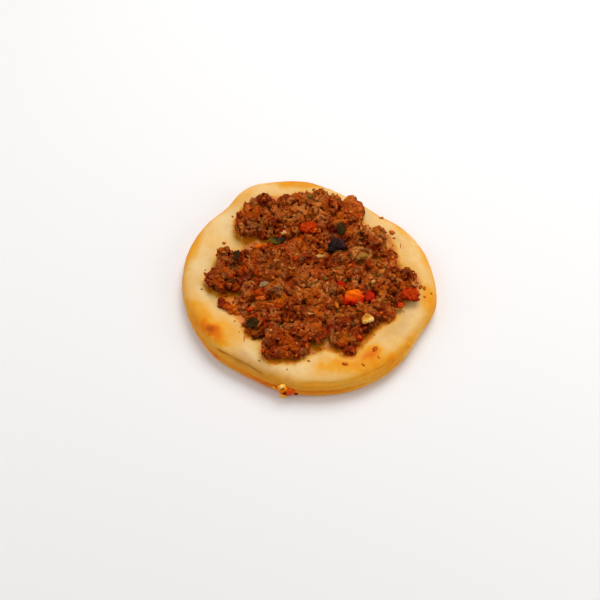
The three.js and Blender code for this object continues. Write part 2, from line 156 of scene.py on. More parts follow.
class Noise:
    """Smooth solid noise on a seeded lattice, mostly between -1 and 1."""

    LATTICE = 256
    GAIN = 1.5
    STEP = 17.3  # how far the layers' lattices are shifted from each other

    def __init__(self, seed: int) -> None:
        """Draws the lattice.

        Args:
            seed: what the draw starts from.
        """
        rng = np.random.default_rng(seed)
        self._order = rng.permutation(self.LATTICE)
        slopes = rng.normal(size=(self.LATTICE, 3))
        self._slopes = slopes / np.linalg.norm(slopes, axis=1, keepdims=True)

    def at(self, points: Array, width: float) -> Array:
        """The noise at places.

        Args:
            points: (n, 3) places.
            width: size of one cell of the noise's lattice.

        Returns:
            One number for each place.
        """
        scaled = points / width
        cell = np.floor(scaled).astype(int)
        part = scaled - cell
        fade = part**3 * (part * (part * 6 - 15) + 10)
        total = np.zeros(len(points))
        for corner in itertools.product((0, 1), repeat=3):
            slope = self._slopes[self._hash(cell + corner)]
            weight = np.where(corner, fade, 1 - fade).prod(1)
            total += weight * ((part - corner) * slope).sum(1)
        return total * self.GAIN

    def layered(self, points: Array, width: float, layers: int, gain: float = 0.5) -> Array:
        """Several layers of noise, each half as wide as the last.

        Args:
            points: (n, 3) places.
            width: cell size of the widest layer.
            layers: how many.
            gain: height of each layer as a share of the one before.

        Returns:
            One number for each place.
        """
        total = np.zeros(len(points))
        for layer in range(layers):
            total += gain**layer * self.at(points + self.STEP * layer, width / 2**layer)
        return total

    def _hash(self, cell: Array) -> Array:
        """The number of the slope at each lattice corner."""
        order, last = self._order, self.LATTICE - 1
        across = order[cell[:, 0] & last]
        along = order[(across + cell[:, 1]) & last]
        return order[(along + cell[:, 2]) & last]


# ---- Meshes ----


@dataclass
class Shell:
    """A mesh before it is a piece: places in millimetres, faces, and named numbers at each place."""

    points: Array
    faces: Array
    marks: dict[str, Array] = field(default_factory=dict)

    def normals(self) -> Array:
        """The outward direction at each place."""
        corners = self.points[self.faces]
        if self.faces.shape[1] == 4:
            face = np.cross(corners[:, 2] - corners[:, 0], corners[:, 3] - corners[:, 1])
        else:
            face = np.cross(corners[:, 1] - corners[:, 0], corners[:, 2] - corners[:, 0])
        total = np.zeros_like(self.points)
        for column in range(self.faces.shape[1]):
            for axis in range(3):
                total[:, axis] += np.bincount(
                    self.faces[:, column], weights=face[:, axis], minlength=len(self.points)
                )
        length = np.linalg.norm(total, axis=1, keepdims=True)
        return total / np.maximum(length, TINY)

    def pushed(self, distance: Array) -> "Shell":
        """The same mesh with each place moved out by a distance."""
        return Shell(self.points + self.normals() * distance[:, None], self.faces, self.marks)

    def merged(self, widths: Array) -> "Shell":
        """Makes a mesh of four-sided faces coarser where it is hidden.

        Args:
            widths: for each place the width of a cube in which such places become one, or 0 where it stays.

        Returns:
            The mesh, in triangles.
        """
        stays = widths == 0
        cubes = np.floor(self.points / np.where(stays, 1, widths)[:, None])
        keys = np.column_stack([cubes, -widths])
        keys[stays] = 0
        keys[stays, 3] = 1 + np.arange(stays.sum())
        _, first, number = np.unique(keys, axis=0, return_index=True, return_inverse=True)
        quads = number.reshape(-1)[self.faces]
        faces = np.concatenate([quads[:, [0, 1, 2]], quads[:, [0, 2, 3]]])
        a, b, c = faces.T
        faces = faces[(a != b) & (b != c) & (c != a)]
        _, kept = np.unique(np.sort(faces, axis=1), axis=0, return_index=True)
        return Shell(self.points[first], faces[np.sort(kept)], {k: v[first] for k, v in self.marks.items()})

    @staticmethod
    def joined(shells: Sequence["Shell"]) -> "Shell":
        """Several meshes as one; all have the same kind of face and the same marks."""
        starts = np.cumsum([0] + [len(shell.points) for shell in shells[:-1]])
        return Shell(
            np.concatenate([shell.points for shell in shells]),
            np.concatenate([shell.faces + start for shell, start in zip(shells, starts)]),
            {name: np.concatenate([s.marks[name] for s in shells]) for name in shells[0].marks},
        )


@functools.cache
def ball(detail: int) -> Shell:
    """A ball of radius 1 made of triangles; each step of detail has four times as many."""
    mesh = bmesh.new()
    bmesh.ops.create_icosphere(mesh, subdivisions=detail, radius=1)
    points = np.array([v.co for v in mesh.verts])
    faces = np.array([[v.index for v in f.verts] for f in mesh.faces])
    mesh.free()
    return Shell(points, faces)


def linked(name: str, data: bpy.types.ID) -> bpy.types.Object:
    """A new object in the scene, with a mesh, a light or a camera in it."""
    thing = bpy.data.objects.new(name, data)
    bpy.context.scene.collection.objects.link(thing)
    return thing


def make_piece(shell: Shell, name: str, finish: "Finish", replaces: Iterable[str] = ()) -> bpy.types.Object:
    """Makes a mesh into a piece that rides on the body.

    Args:
        shell: the mesh, in millimetres.
        name: the piece's name.
        finish: what it is made of.
        replaces: the solids that it stands for.

    Returns:
        The new object.
    """
    inside = np.clip(shell.points, LOW, HIGH)
    mesh = bpy.data.meshes.new(name)
    mesh.from_pydata(inside * MM, [], shell.faces.tolist())
    mesh.shade_smooth()
    for mark, values in shell.marks.items():
        mesh.attributes.new(mark, "FLOAT", "POINT").data.foreach_set("value", values.astype(np.float32))
    mesh.update()
    piece = linked(name, mesh)
    mesh.materials.append(finish.material())
    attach(piece, BODY)
    if replaces:
        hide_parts(*replaces)
    log.info("%s: %d faces, for %s", name, len(shell.faces), ", ".join(replaces) or "no solid")
    return piece


# ---- Lumps, and the grid that melts them together ----


@dataclass
class Lumps:
    """Many egg-shaped lumps: middles, half extents, and the directions of their axes as rows of a matrix."""

    middles: Array
    radii: Array
    axes: Array
    TILT = 0.35  # how far the lumps lean at random
    DRIFT = (3.1, 1.7, 2.3)  # how far apart in the noise two lumps' skins are
    GOLDEN = 0.618034  # step from one lump's tone to the next, so that no two are alike

    def __len__(self) -> int:
        """How many lumps there are."""
        return len(self.middles)

    @staticmethod
    def joined(many: Sequence["Lumps"]) -> "Lumps":
        """Several sets of lumps as one."""
        parts = ([one.middles for one in many], [one.radii for one in many], [one.axes for one in many])
        return Lumps(*map(np.concatenate, parts))

    @staticmethod
    def on_surface(
        points: Array, normals: Array, radius: Array, stretch: tuple[float, float],
        flatness: tuple[float, float], sink: float, rng: np.random.Generator,
    ) -> "Lumps":
        """Lumps that sit in a surface, turned at random and flattened against it.

        Args:
            points: places on the surface.
            normals: its outward directions there.
            radius: half the width of each lump.
            stretch: least and most length of a lump as a share of its width.
            flatness: least and most height as a share of its width.
            sink: how deep a lump's middle lies, as a share of its radius.
            rng: the seeded draw.

        Returns:
            The lumps.
        """
        count = len(points)
        tilt = rng.normal(scale=Lumps.TILT, size=(count, 3))
        up = normals + tilt
        up /= np.linalg.norm(up, axis=1, keepdims=True)
        side = np.cross(up, rng.normal(size=(count, 3)))
        side /= np.linalg.norm(side, axis=1, keepdims=True)
        axes = np.stack([side, np.cross(up, side), up], axis=1)
        length = rng.uniform(*stretch, count)
        height = rng.uniform(*flatness, count)
        shares = np.stack([length, np.ones(count), height], axis=1)
        return Lumps(points - normals * (sink * radius)[:, None], shares * radius[:, None], axes)

    def shells(self, detail: int, knobs: float, knob_width: float, noise: Noise) -> Shell:
        """The lumps as separate closed meshes with knobbly skins, joined in one.

        Args:
            detail: how finely each is divided.
            knobs: how far the skin strays, as a share of the radius.
            knob_width: size of the knobs, as a share of the radius.
            noise: where the knobs are.

        Returns:
            One mesh with the mark `tone`, a number for each lump, and `shade`, painted light and shade that
            is 0 below and 1 on top.
        """
        base = ball(detail)
        count, corners = len(self), len(base.points)
        local = np.tile(base.points, (count, 1, 1))
        drift = np.arange(count)[:, None, None] * np.array(self.DRIFT)
        places = (local + drift).reshape(-1, 3)
        bumps = noise.layered(places, knob_width, layers=3, gain=0.6).reshape(count, corners)
        local = local * (1 + knobs * bumps)[:, :, None] * self.radii[:, None, :]
        placed = np.einsum("nci,nij->ncj", local, self.axes) + self.middles[:, None, :]
        faces = base.faces[None] + (np.arange(count) * corners)[:, None, None]
        tone = np.repeat((np.arange(count) * self.GOLDEN) % 1, corners)
        # painted light and shade: each lump's top and its knobs that stand out are paler, its underside
        # darker
        shade = base.points[None, :, 2] * 0.5 + 0.5 + 0.25 * bumps
        return Shell(placed.reshape(-1, 3), faces.reshape(-1, 3), {"tone": tone, "shade": shade.reshape(-1)})


def thinned(points: Array, spacing: float, rng: np.random.Generator) -> Array:
    """Picks places at random so that about one is left in each cube of a given width.

    Args:
        points: (n, 3) places.
        spacing: the cubes' width.
        rng: the seeded draw.

    Returns:
        The numbers of the places that are left.
    """
    order = rng.permutation(len(points))
    shift = rng.uniform(0, spacing, 3)
    keys = np.floor((points[order] + shift) / spacing).astype(int)
    _, first = np.unique(keys, axis=0, return_index=True)
    return order[np.sort(first)]


class Form(Enum):
    """What a layer of bumps looks like."""

    SOFT = "soft"  # even bumps and hollows
    PUFFY = "puffy"  # puffs with creases between them
    RIDGED = "ridged"  # sharp crests with hollows between them
    CRACKED = "cracked"  # a flat skin with narrow cracks


@dataclass(frozen=True)
class Relief:
    """Bumps: their width, their height, what they look like, and how many ever finer layers they have."""

    width: float
    height: float
    form: Form = Form.SOFT
    layers: int = 1
    CREASED = 0.35  # mean of puffy bumps, which is taken off them
    THIN = 0.13  # how narrow the cracks are

    def at(self, noise: Noise, places: Array) -> Array:
        """How far the bumps move the surface out.

        Args:
            noise: where the bumps are.
            places: (n, 3) places.

        Returns:
            Millimetres for each place.
        """
        value = noise.layered(places, self.width, self.layers)
        if self.form is Form.PUFFY:
            value = np.abs(value) - self.CREASED
        elif self.form is Form.RIDGED:
            value = self.CREASED - np.abs(value)
        elif self.form is Form.CRACKED:
            value = -bell(value, 0, self.THIN)
        return self.height * value


class Clay:
    """Signed distances on an even grid, negative inside; lumps are melted in and cut out."""

    FAR = 4.0  # the distance of a grid point that nothing has come near
    LEAST_SLOPE = 1e-6
    BOXINESS = (2.0, 3.4, 2.4, 5.0, 2.8)  # the lumps in turn: 2 is egg-shaped, and more has flatter sides

    def __init__(
        self, low: Sequence[float], high: Sequence[float], cell: float, blend: float,
        boxiness: Sequence[float] = BOXINESS,
    ) -> None:
        """Makes an empty grid.

        Args:
            low: the lowest corner of the room.
            high: its highest corner.
            cell: the step of the grid.
            blend: how wide the fillet between two lumps is.
            boxiness: how flat the sides of the lumps are, in turn.
        """
        self.low = np.array(low, float)
        self.cell = cell
        self.blend = blend
        self.boxiness = boxiness
        self.counts = np.ceil((np.array(high) - self.low) / cell).astype(int) + 1
        self.distance = np.full(tuple(self.counts), self.FAR)
        self.owner = np.zeros(tuple(self.counts), np.int32)

    def places(self) -> Array:
        """Every grid point's place, in the order of a raveled array."""
        axes = [self.low[k] + self.cell * np.arange(self.counts[k]) for k in range(3)]
        return np.stack(np.meshgrid(*axes, indexing="ij"), axis=-1).reshape(-1, 3)

    def add(self, lumps: Lumps, first: int = 1) -> None:
        """Melts lumps into the clay, and marks which lump each grid point is nearest.

        Args:
            lumps: the lumps.
            first: the first lump's mark.
        """
        for number in range(len(lumps)):
            box, near = self._near(lumps, number, self.blend + self.cell)
            if box is None:
                continue
            old = self.distance[box]
            closer = near < old
            overlap = np.maximum(self.blend - np.abs(old - near), 0) / self.blend
            self.distance[box] = np.minimum(old, near) - overlap**2 * self.blend / 4
            self.owner[box] = np.where(closer, first + number, self.owner[box])

    def owners(self, points: Array) -> Array:
        """The mark of the lump at each place."""
        cell = np.clip(np.round((points - self.low) / self.cell).astype(int), 0, self.counts - 1)
        return self.owner[tuple(cell.T)]

    def cut(self, lumps: Lumps, gap: float) -> None:
        """Cuts lumps out of the clay with a gap round them."""
        for number in range(len(lumps)):
            box, near = self._near(lumps, number, gap + 2 * self.cell)
            if box is not None:
                self.distance[box] = np.maximum(self.distance[box], gap - near)

    def rough(self, noise: Noise, layers: Sequence["Relief"], band: float) -> None:
        """Roughens the surface.

        Args:
            noise: the noise.
            layers: the layers of bumps.
            band: how far from the surface the grid is changed.
        """
        near = np.abs(self.distance) < band
        places = self.places().reshape(*self.counts, 3)[near]
        for number, layer in enumerate(layers):
            self.distance[near] -= layer.at(noise, places + Noise.STEP * number)

    def drop_loose(self) -> None:
        """Removes what doesn't hang together, seen from above, with the middle of the clay."""
        cover = (self.distance < 0).any(axis=2)
        kept = np.zeros_like(cover)
        kept[tuple(self.counts[:2] // 2)] = True
        while True:
            grown = np.pad(kept, 1)
            grown = (grown[:-2, 1:-1] | grown[2:, 1:-1] | grown[1:-1, :-2] | grown[1:-1, 2:] | kept) & cover
            if (grown == kept).all():
                break
            kept = grown
        self.distance[~kept] = np.maximum(self.distance[~kept], self.cell)

    def blurred(self, values: Array, passes: int) -> Array:
        """Values on the grid, each pass averaged with their neighbours."""
        out = values.astype(float)
        for _ in range(passes):
            for axis in range(out.ndim):
                edge = np.concatenate([out.take([0], axis), out, out.take([-1], axis)], axis)
                before = edge.take(range(out.shape[axis]), axis)
                after = edge.take(range(2, out.shape[axis] + 2), axis)
                out = (before + 2 * out + after) / 4
        return out

    def sampled(self, values: Array, points: Array) -> Array:
        """Values on the grid read at places, straight between the grid points.

        Args:
            values: one number for each grid point, or for each column of it.
            points: (n, 2 or 3) places.

        Returns:
            One number for each place.
        """
        size = values.ndim
        share = (points[:, :size] - self.low[:size]) / self.cell
        share = np.clip(share, 0, self.counts[:size] - 1.001)
        cell = np.floor(share).astype(int)
        part = share - cell
        total = np.zeros(len(points))
        for corner in itertools.product((0, 1), repeat=size):
            weight = np.where(corner, part, 1 - part).prod(1)
            total += weight * values[tuple((cell + corner).T)]
        return total

    def shell(self) -> Shell:
        """The surface as a mesh of four-sided faces, with one place in each cell that it runs through."""
        inside = self.distance < 0
        cells = tuple(self.counts - 1)
        total = np.zeros((*cells, 3))
        crossings = np.zeros(cells)
        for axis in range(3):
            crossed, share = self._crossings(inside, axis)
            across = [k for k in range(3) if k != axis]
            for corner in itertools.product((0, 1), repeat=2):
                window = [slice(None)] * 3
                for k, offset in zip(across, corner):
                    window[k] = slice(offset, offset + cells[k])
                hit = crossed[tuple(window)]
                place = np.zeros((*cells, 3))
                place[..., axis] = share[tuple(window)]
                for k, offset in zip(across, corner):
                    place[..., k] = offset
                total += place * hit[..., None]
                crossings += hit
        used = crossings > 0
        number = np.full(cells, -1)
        number[used] = np.arange(used.sum())
        base = np.stack(np.nonzero(used), axis=1)
        points = self.low + self.cell * (base + total[used] / crossings[used][:, None])
        return Shell(points, self._faces(inside, number))

    def tops(self) -> Array:
        """The height of the clay's top in each column of the grid, or nan where there is none."""
        inside = self.distance < 0
        last = self.counts[2] - 1 - np.argmax(inside[:, :, ::-1], axis=2)
        rows, columns = np.indices(last.shape)
        below = self.distance[rows, columns, last]
        above = self.distance[rows, columns, np.minimum(last + 1, self.counts[2] - 1)]
        share = np.where(above > below, -below / np.maximum(above - below, TINY), 0)
        return np.where(inside.any(axis=2), self.low[2] + self.cell * (last + share), np.nan)

    def _near(self, lumps: Lumps, number: int, margin: float) -> tuple[Any, Any]:
        """The box of the grid about a lump, and the distance to the lump in it."""
        middle, radii, axes = lumps.middles[number], lumps.radii[number], lumps.axes[number]
        reach = radii.max() + margin
        start = np.maximum(np.floor((middle - reach - self.low) / self.cell).astype(int), 0)
        stop = np.minimum(np.ceil((middle + reach - self.low) / self.cell).astype(int) + 1, self.counts)
        if (start >= stop).any():
            return None, None
        lines = [self.low[k] + self.cell * np.arange(start[k], stop[k]) - middle[k] for k in range(3)]
        offset = np.stack(np.meshgrid(*lines, indexing="ij"), axis=-1) @ axes.T
        scaled = offset / radii
        power = self.boxiness[number % len(self.boxiness)]
        even = (np.abs(scaled) ** power).sum(axis=-1) ** (1 / power)
        steep = np.linalg.norm(offset / radii**2, axis=-1)
        slope = steep / np.maximum(np.linalg.norm(scaled, axis=-1), self.LEAST_SLOPE)
        near = (even - 1) / np.maximum(slope, self.LEAST_SLOPE)
        return tuple(slice(a, b) for a, b in zip(start, stop)), near

    def _crossings(self, inside: Array, axis: int) -> tuple[Array, Array]:
        """Where the grid's lines along an axis cross the surface, and how far along their step."""
        count = self.counts[axis]
        first, second = range(count - 1), range(1, count)
        crossed = inside.take(first, axis) != inside.take(second, axis)
        low, high = self.distance.take(first, axis), self.distance.take(second, axis)
        share = np.where(crossed, low / np.where(crossed, low - high, 1), 0)
        return crossed, share

    def _faces(self, inside: Array, number: Array) -> Array:
        """A face round each grid line that crosses the surface, from the four cells that share the line."""
        faces = []
        for axis in range(3):
            a, b = [(1, 2), (2, 0), (0, 1)][axis]
            crossed, _ = self._crossings(inside, axis)
            window = [slice(None)] * 3
            window[a] = slice(1, -1)
            window[b] = slice(1, -1)
            at = np.stack(np.nonzero(crossed[tuple(window)]), axis=1)
            at[:, a] += 1
            at[:, b] += 1
            ring = []
            for offset_a, offset_b in ((1, 1), (0, 1), (0, 0), (1, 0)):
                cell = at.copy()
                cell[:, a] -= offset_a
                cell[:, b] -= offset_b
                ring.append(number[tuple(cell.T)])
            quads = np.stack(ring, axis=1)
            outward = inside[tuple(at.T)]
            quads[~outward] = quads[~outward][:, ::-1]
            faces.append(quads)
        return np.concatenate(faces)


# ---- Shader values ----


class Value:
    """One output of a shader node, which Python's operators extend with Math nodes."""

    def __init__(self, paint: "Paint", socket: bpy.types.NodeSocket) -> None:
        """Keeps the material and the node's output."""
        self.paint = paint
        self.socket = socket

    def __add__(self, other: "Number") -> "Value":
        """Sum."""
        return self.paint.math("ADD", self, other)

    def __sub__(self, other: "Number") -> "Value":
        """Difference."""
        return self.paint.math("SUBTRACT", self, other)

    def __rsub__(self, other: float) -> "Value":
        """Difference from a number."""
        return self.paint.math("SUBTRACT", other, self)

    def __mul__(self, other: "Number") -> "Value":
        """Product."""
        return self.paint.math("MULTIPLY", self, other)

    __radd__ = __add__
    __rmul__ = __mul__

    def held(self) -> "Value":
        """The same value kept between 0 and 1."""
        return self.paint.value("ShaderNodeClamp", 0, {}, {"Value": self})

    def swing(self, amount: float) -> "Value":
        """How far a noise is off its middle, times an amount."""
        return (self - 0.5) * amount


Number = Value | float


def linear(colour: Srgb) -> tuple[float, float, float, float]:
    """A screen colour as the linear colour that a shader takes."""
    shares = [part / 255 for part in colour]
    return (*[s / 12.92 if s <= 0.04045 else ((s + 0.055) / 1.055) ** 2.4 for s in shares], 1.0)


class Paint:
    """A material that is being built from nodes."""

    MIX_A, MIX_B, MIX_RESULT = 6, 7, 2  # a Mix node's colour sockets

    def __init__(self, name: str) -> None:
        """Makes the material.

        Args:
            name: the material's name.
        """
        self.material = bpy.data.materials.new(name)
        self.material.use_nodes = True
        self.tree = self.material.node_tree
        self.surface = self.tree.nodes["Principled BSDF"]
        self._place = self.value("ShaderNodeTexCoord", "Object", {}, {})

    def node(self, kind: str, settings: Mapping[str, Any], sockets: Mapping[Any, Any]) -> bpy.types.Node:
        """Adds a node.

        Args:
            kind: the node's type.
            settings: its own settings, which are set first; `stops` are a ramp's positions and colours.
            sockets: a number, colour or Value for each input.

        Returns:
            The node.
        """
        node = self.tree.nodes.new(kind)
        for name, setting in settings.items():
            if name == "stops":
                self._set_stops(node.color_ramp, setting)
            else:
                setattr(node, name, setting)
        self.feed(node, sockets)
        return node

    def feed(self, node: bpy.types.Node, sockets: Mapping[Any, Any]) -> None:
        """Sets or links a node's inputs."""
        for name, given in sockets.items():
            if isinstance(given, Value):
                self.tree.links.new(given.socket, node.inputs[name])
            else:
                node.inputs[name].default_value = given

    def value(self, kind: str, output: Any, settings: Mapping[str, Any], sockets: Mapping[Any, Any]) -> Value:
        """Adds a node and returns one of its outputs."""
        return Value(self, self.node(kind, settings, sockets).outputs[output])

    def math(self, operation: str, *values: Number) -> Value:
        """Adds a Math node on numbers or values."""
        return self.value("ShaderNodeMath", 0, {"operation": operation}, dict(enumerate(values)))

    def mix(self, share: Number, first: Any, second: Any) -> Value:
        """Mixes two colours by a share of the second."""
        sockets = {0: share, self.MIX_A: first, self.MIX_B: second}
        return self.value("ShaderNodeMix", self.MIX_RESULT, {"data_type": "RGBA"}, sockets)

    def mark(self, name: str) -> Value:
        """A number kept at each place of the mesh."""
        return self.value("ShaderNodeAttribute", "Fac", {"attribute_name": name}, {})

    def ramp(self, share: Value, stops: Sequence[Stop]) -> Value:
        """The colour at a share of the way along a ramp."""
        return self.value("ShaderNodeValToRGB", "Color", {"stops": stops}, {"Fac": share})

    def noise(self, width: float, detail: float = 2, rough: float = 0.5, warp: float = 0) -> Value:
        """Noise from 0 to 1 with cells of a width in millimetres."""
        sockets = {"Vector": self._place, "Scale": 1 / (width * MM), "Detail": detail,
                   "Roughness": rough, "Distortion": warp}
        return self.value("ShaderNodeTexNoise", 0, {}, sockets)

    def lines(self, width: float, sharpness: float, warp: float) -> Value:
        """Winding lines along the middle values of noise: 1 on them and 0 beside them."""
        away = self.math("ABSOLUTE", self.noise(width, 3, 0.6, warp) - 0.5)
        return (1 - away * sharpness).held()

    def cells(self, width: float) -> Value:
        """Distance to the nearest of scattered points, whose cells have a width in millimetres."""
        sockets = {"Vector": self._place, "Scale": 1 / (width * MM)}
        return self.value("ShaderNodeTexVoronoi", "Distance", {}, sockets)

    def bump(self, height: Value, depth: float, strength: float) -> Value:
        """The normal of a surface whose relief has a depth in millimetres."""
        sockets = {"Height": height, "Distance": depth * MM, "Strength": strength}
        return self.value("ShaderNodeBump", "Normal", {}, sockets)

    def _set_stops(self, ramp: bpy.types.ColorRamp, stops: Sequence[Stop]) -> None:
        """Sets a ramp's positions and colours."""
        while len(ramp.elements) < len(stops):
            ramp.elements.new(0.5)
        for element, (position, colour) in zip(ramp.elements, stops):
            element.position = position
            element.color = linear(colour)


# ---- Finishes ----


@dataclass(frozen=True)
class Finish:
    """What a piece is made of: the material's name, and a slot name that is not used."""

    name: str
    slot: str

    def dress(self, paint: Paint) -> None:
        """Builds the nodes."""
        raise NotImplementedError

    @functools.cache
    def material(self) -> bpy.types.Material:
        """The finish's material, made once."""
        paint = Paint(self.name)
        self.dress(paint)
        return paint.material


@dataclass(frozen=True)
class DoughFinish(Finish):
    """Baked dough, from pale cream through gold to brown, stained by the oil of the topping."""

    bake_stops: tuple[Stop, ...] = (
        (0.0, (237, 205, 146)), (0.2, (232, 183, 107)), (0.4, (233, 163, 46)),
        (0.6, (232, 142, 8)), (0.8, (222, 108, 0)), (1.0, (172, 72, 1)),
    )
    # painted shade: the grey-brown that shaded places and greyed patches are mixed towards
    dull_shade_colour: Srgb = (172, 108, 40)
    oil_stops: tuple[Stop, ...] = ((0.0, (238, 196, 88)), (0.5, (232, 166, 26)), (1.0, (216, 120, 4)))
    mottle: float = 0.24  # how much wide clouds vary the bake
    veins: float = 0.16  # how much narrow clouds vary it
    speckle: float = 0.1  # how much the finest grain varies it
    roughness: float = 0.58
    oiled: float = 0.2  # how much smoother oil makes it
    specular: float = 0.12
    coat: float = 0.15  # how much oil coats it
    coat_roughness: float = 0.25
    subsurface: float = 0.06
    glow: tuple[float, float, float] = (1.0, 0.8, 0.5)  # how far red, green and blue light spread in it
    glow_depth: float = 1.2
    relief: float = 0.3

    def dress(self, paint: Paint) -> None:
        """Builds the nodes."""
        cloud = paint.noise(8, 4, 0.6, 0.4)
        veil = paint.noise(3.2, 4, 0.6, 0.6)
        grain = paint.noise(0.8, 3, 0.6)
        level = paint.mark("bake") + cloud.swing(self.mottle)
        level = level + veil.swing(self.veins) + grain.swing(self.speckle)
        baked = paint.ramp(level.held(), self.bake_stops)
        # painted shade: the front shoulder and the creases, and some other patches, are greyed
        dull_shaded = paint.mix(paint.mark("dull_and_shade"), baked, linear(self.dull_shade_colour))
        stain = (paint.mark("oil") * (0.3 + veil * 1.4)).held()
        relief = paint.noise(2.2, 4, 0.6) * 0.7 + paint.noise(0.5, 2, 0.5) * 0.3
        paint.feed(paint.surface, {
            "Base Color": paint.mix((stain * 1.2).held(), dull_shaded, paint.ramp(stain, self.oil_stops)),
            "Roughness": (self.roughness - stain * self.oiled + grain.swing(0.2)).held(),
            "Specular IOR Level": self.specular,
            "Coat Weight": (stain * self.coat).held(),
            "Coat Roughness": self.coat_roughness,
            "Subsurface Weight": self.subsurface,
            "Subsurface Radius": self.glow,
            "Subsurface Scale": self.glow_depth * MM,
            "Normal": paint.bump(relief, self.relief, 0.7),
        })


@dataclass(frozen=True)
class Tint:
    """Clouds of another colour."""

    width: float
    start: float  # the value of the noise at which they begin
    soft: float  # how much more of it makes them full
    colour: Srgb
    share: float  # how much they cover where they are full

    def over(self, paint: Paint, below: Value) -> Value:
        """The colour below with the clouds laid over it."""
        cloud = ((paint.noise(self.width, 3, 0.55, 0.3) - self.start) * (1 / self.soft)).held()
        return paint.mix(cloud * self.share, below, linear(self.colour))


@dataclass(frozen=True)
class MinceFinish(Finish):
    """Cooked spiced mince: each grain has a tone and clouds tint it; painted shade darkens its pits and
    cracks, and painted highlight pales its crests.
    """

    tone_stops: tuple[Stop, ...] = (
        (0.0, (50, 6, 1)), (0.25, (108, 25, 1)), (0.5, (160, 55, 6)),
        (0.75, (204, 98, 24)), (1.0, (240, 152, 70)),
    )
    tints: tuple[Tint, ...] = (
        Tint(8.5, 0.5, 0.12, (224, 104, 4), 0.8),
        Tint(5.2, 0.55, 0.1, (168, 30, 1), 0.65),
        Tint(6.0, 0.55, 0.1, (200, 126, 60), 0.6),
        Tint(4.4, 0.58, 0.12, (84, 26, 4), 0.6),
        Tint(3.4, 0.61, 0.1, (104, 70, 18), 0.5),
        Tint(1.9, 0.66, 0.06, (52, 16, 3), 0.6),
    )
    sauce_colour: Srgb = (214, 72, 4)
    # painted shade: the colour that pits and cracks are darkened towards
    pit_shade_colour: Srgb = (56, 8, 1)
    crumb: float = 1.05  # width of the grains of meat in the colour and the relief
    grit: float = 0.75  # how much the finest noise varies the tone
    patches: float = 0.3  # how much wider noise varies it
    crests: float = 0.2  # painted highlight: how much paler the fine crests are
    cracks: float = 0.34  # painted shade: how dark the fine cracks are
    pit_shading: float = 0.75  # painted shade: how dark the pits are
    crest_lines: tuple[float, float, float] = (1.4, 8, 0.6)  # width, sharpness and warp
    crack_lines: tuple[float, float, float] = (2.0, 16, 0.8)
    roughness: float = 0.66
    wetness: float = 0.25  # how much smoother the wet spots are
    shine: float = 0.6  # how much oil coats them
    coat_roughness: float = 0.2
    specular: float = 0.05
    subsurface: float = 0.12
    glow: tuple[float, float, float] = (1.0, 0.35, 0.2)  # how far red, green and blue light spread in it
    glow_depth: float = 0.6
    relief: float = 0.6

    def dress(self, paint: Paint) -> None:
        """Builds the nodes."""
        fine = paint.noise(0.5, 3, 0.65)
        patch = paint.noise(2.6, 3, 0.6)
        grain = paint.cells(self.crumb)
        crack = paint.lines(*self.crack_lines)
        crest = paint.lines(*self.crest_lines)
        level = paint.mark("tone") + fine.swing(self.grit) + patch.swing(self.patches)
        # painted light and shade: the middles of the grains and the crests are paler, the edges between
        # grains darker
        level = level + (0.4 - grain) * 0.16 + (crest - 0.3) * self.crests
        meat = paint.ramp(level.held(), self.tone_stops)
        for tint in self.tints:
            meat = tint.over(paint, meat)
        sauced = paint.mix((paint.mark("sauce") * (patch * 1.5)).held(), meat, linear(self.sauce_colour))
        # painted shade in the pits and the cracks
        dark = (paint.mark("shaded_pit") * self.pit_shading + crack * self.cracks).held()
        relief = crest * 0.35 + (1 - grain) * 0.2 + fine * 0.45 - crack * 0.4
        wet = ((paint.noise(1.1, 2, 0.5) - 0.6) * 7).held()
        paint.feed(paint.surface, {
            "Base Color": paint.mix(dark, sauced, linear(self.pit_shade_colour)),
            "Roughness": (self.roughness - wet * self.wetness + fine.swing(0.3)).held(),
            "Specular IOR Level": self.specular,
            "Coat Weight": (wet * self.shine).held(),
            "Coat Roughness": self.coat_roughness,
            "Subsurface Weight": self.subsurface,
            "Subsurface Radius": self.glow,
            "Subsurface Scale": self.glow_depth * MM,
            "Normal": paint.bump(relief, self.relief, 1.0),
        })


@dataclass(frozen=True)
class PieceFinish(Finish):
    """A vegetable, leaf or crumb: colours over its shade, which holds its own paler parts and painted light
    and shade, fine mottling, relief and a coat of oil.
    """

    stops: tuple[Stop, ...] = ((0.0, (60, 20, 8)), (1.0, (200, 120, 60)))
    mottle: float = 0.25
    mottle_width: float = 1.4
    roughness: float = 0.45
    specular: float = 0.2
    coat: float = 0.12
    coat_roughness: float = 0.15
    subsurface: float = 0.2
    glow: tuple[float, float, float] = (1.0, 0.4, 0.2)  # how far red, green and blue light spread in it
    glow_depth: float = 0.8
    relief: float = 0.12

    def dress(self, paint: Paint) -> None:
        """Builds the nodes."""
        cloud = paint.noise(self.mottle_width, 3, 0.6, 0.3)
        fine = paint.noise(self.mottle_width / 4, 2, 0.5)
        level = paint.mark("shade") + cloud.swing(self.mottle) + fine.swing(self.mottle / 2)
        paint.feed(paint.surface, {
            "Base Color": paint.ramp(level.held(), self.stops),
            "Roughness": (self.roughness + fine.swing(0.25)).held(),
            "Specular IOR Level": self.specular,
            "Coat Weight": self.coat,
            "Coat Roughness": self.coat_roughness,
            "Subsurface Weight": self.subsurface,
            "Subsurface Radius": self.glow,
            "Subsurface Scale": self.glow_depth * MM,
            "Normal": paint.bump(cloud * 0.6 + fine * 0.4, self.relief, 0.8),
        })


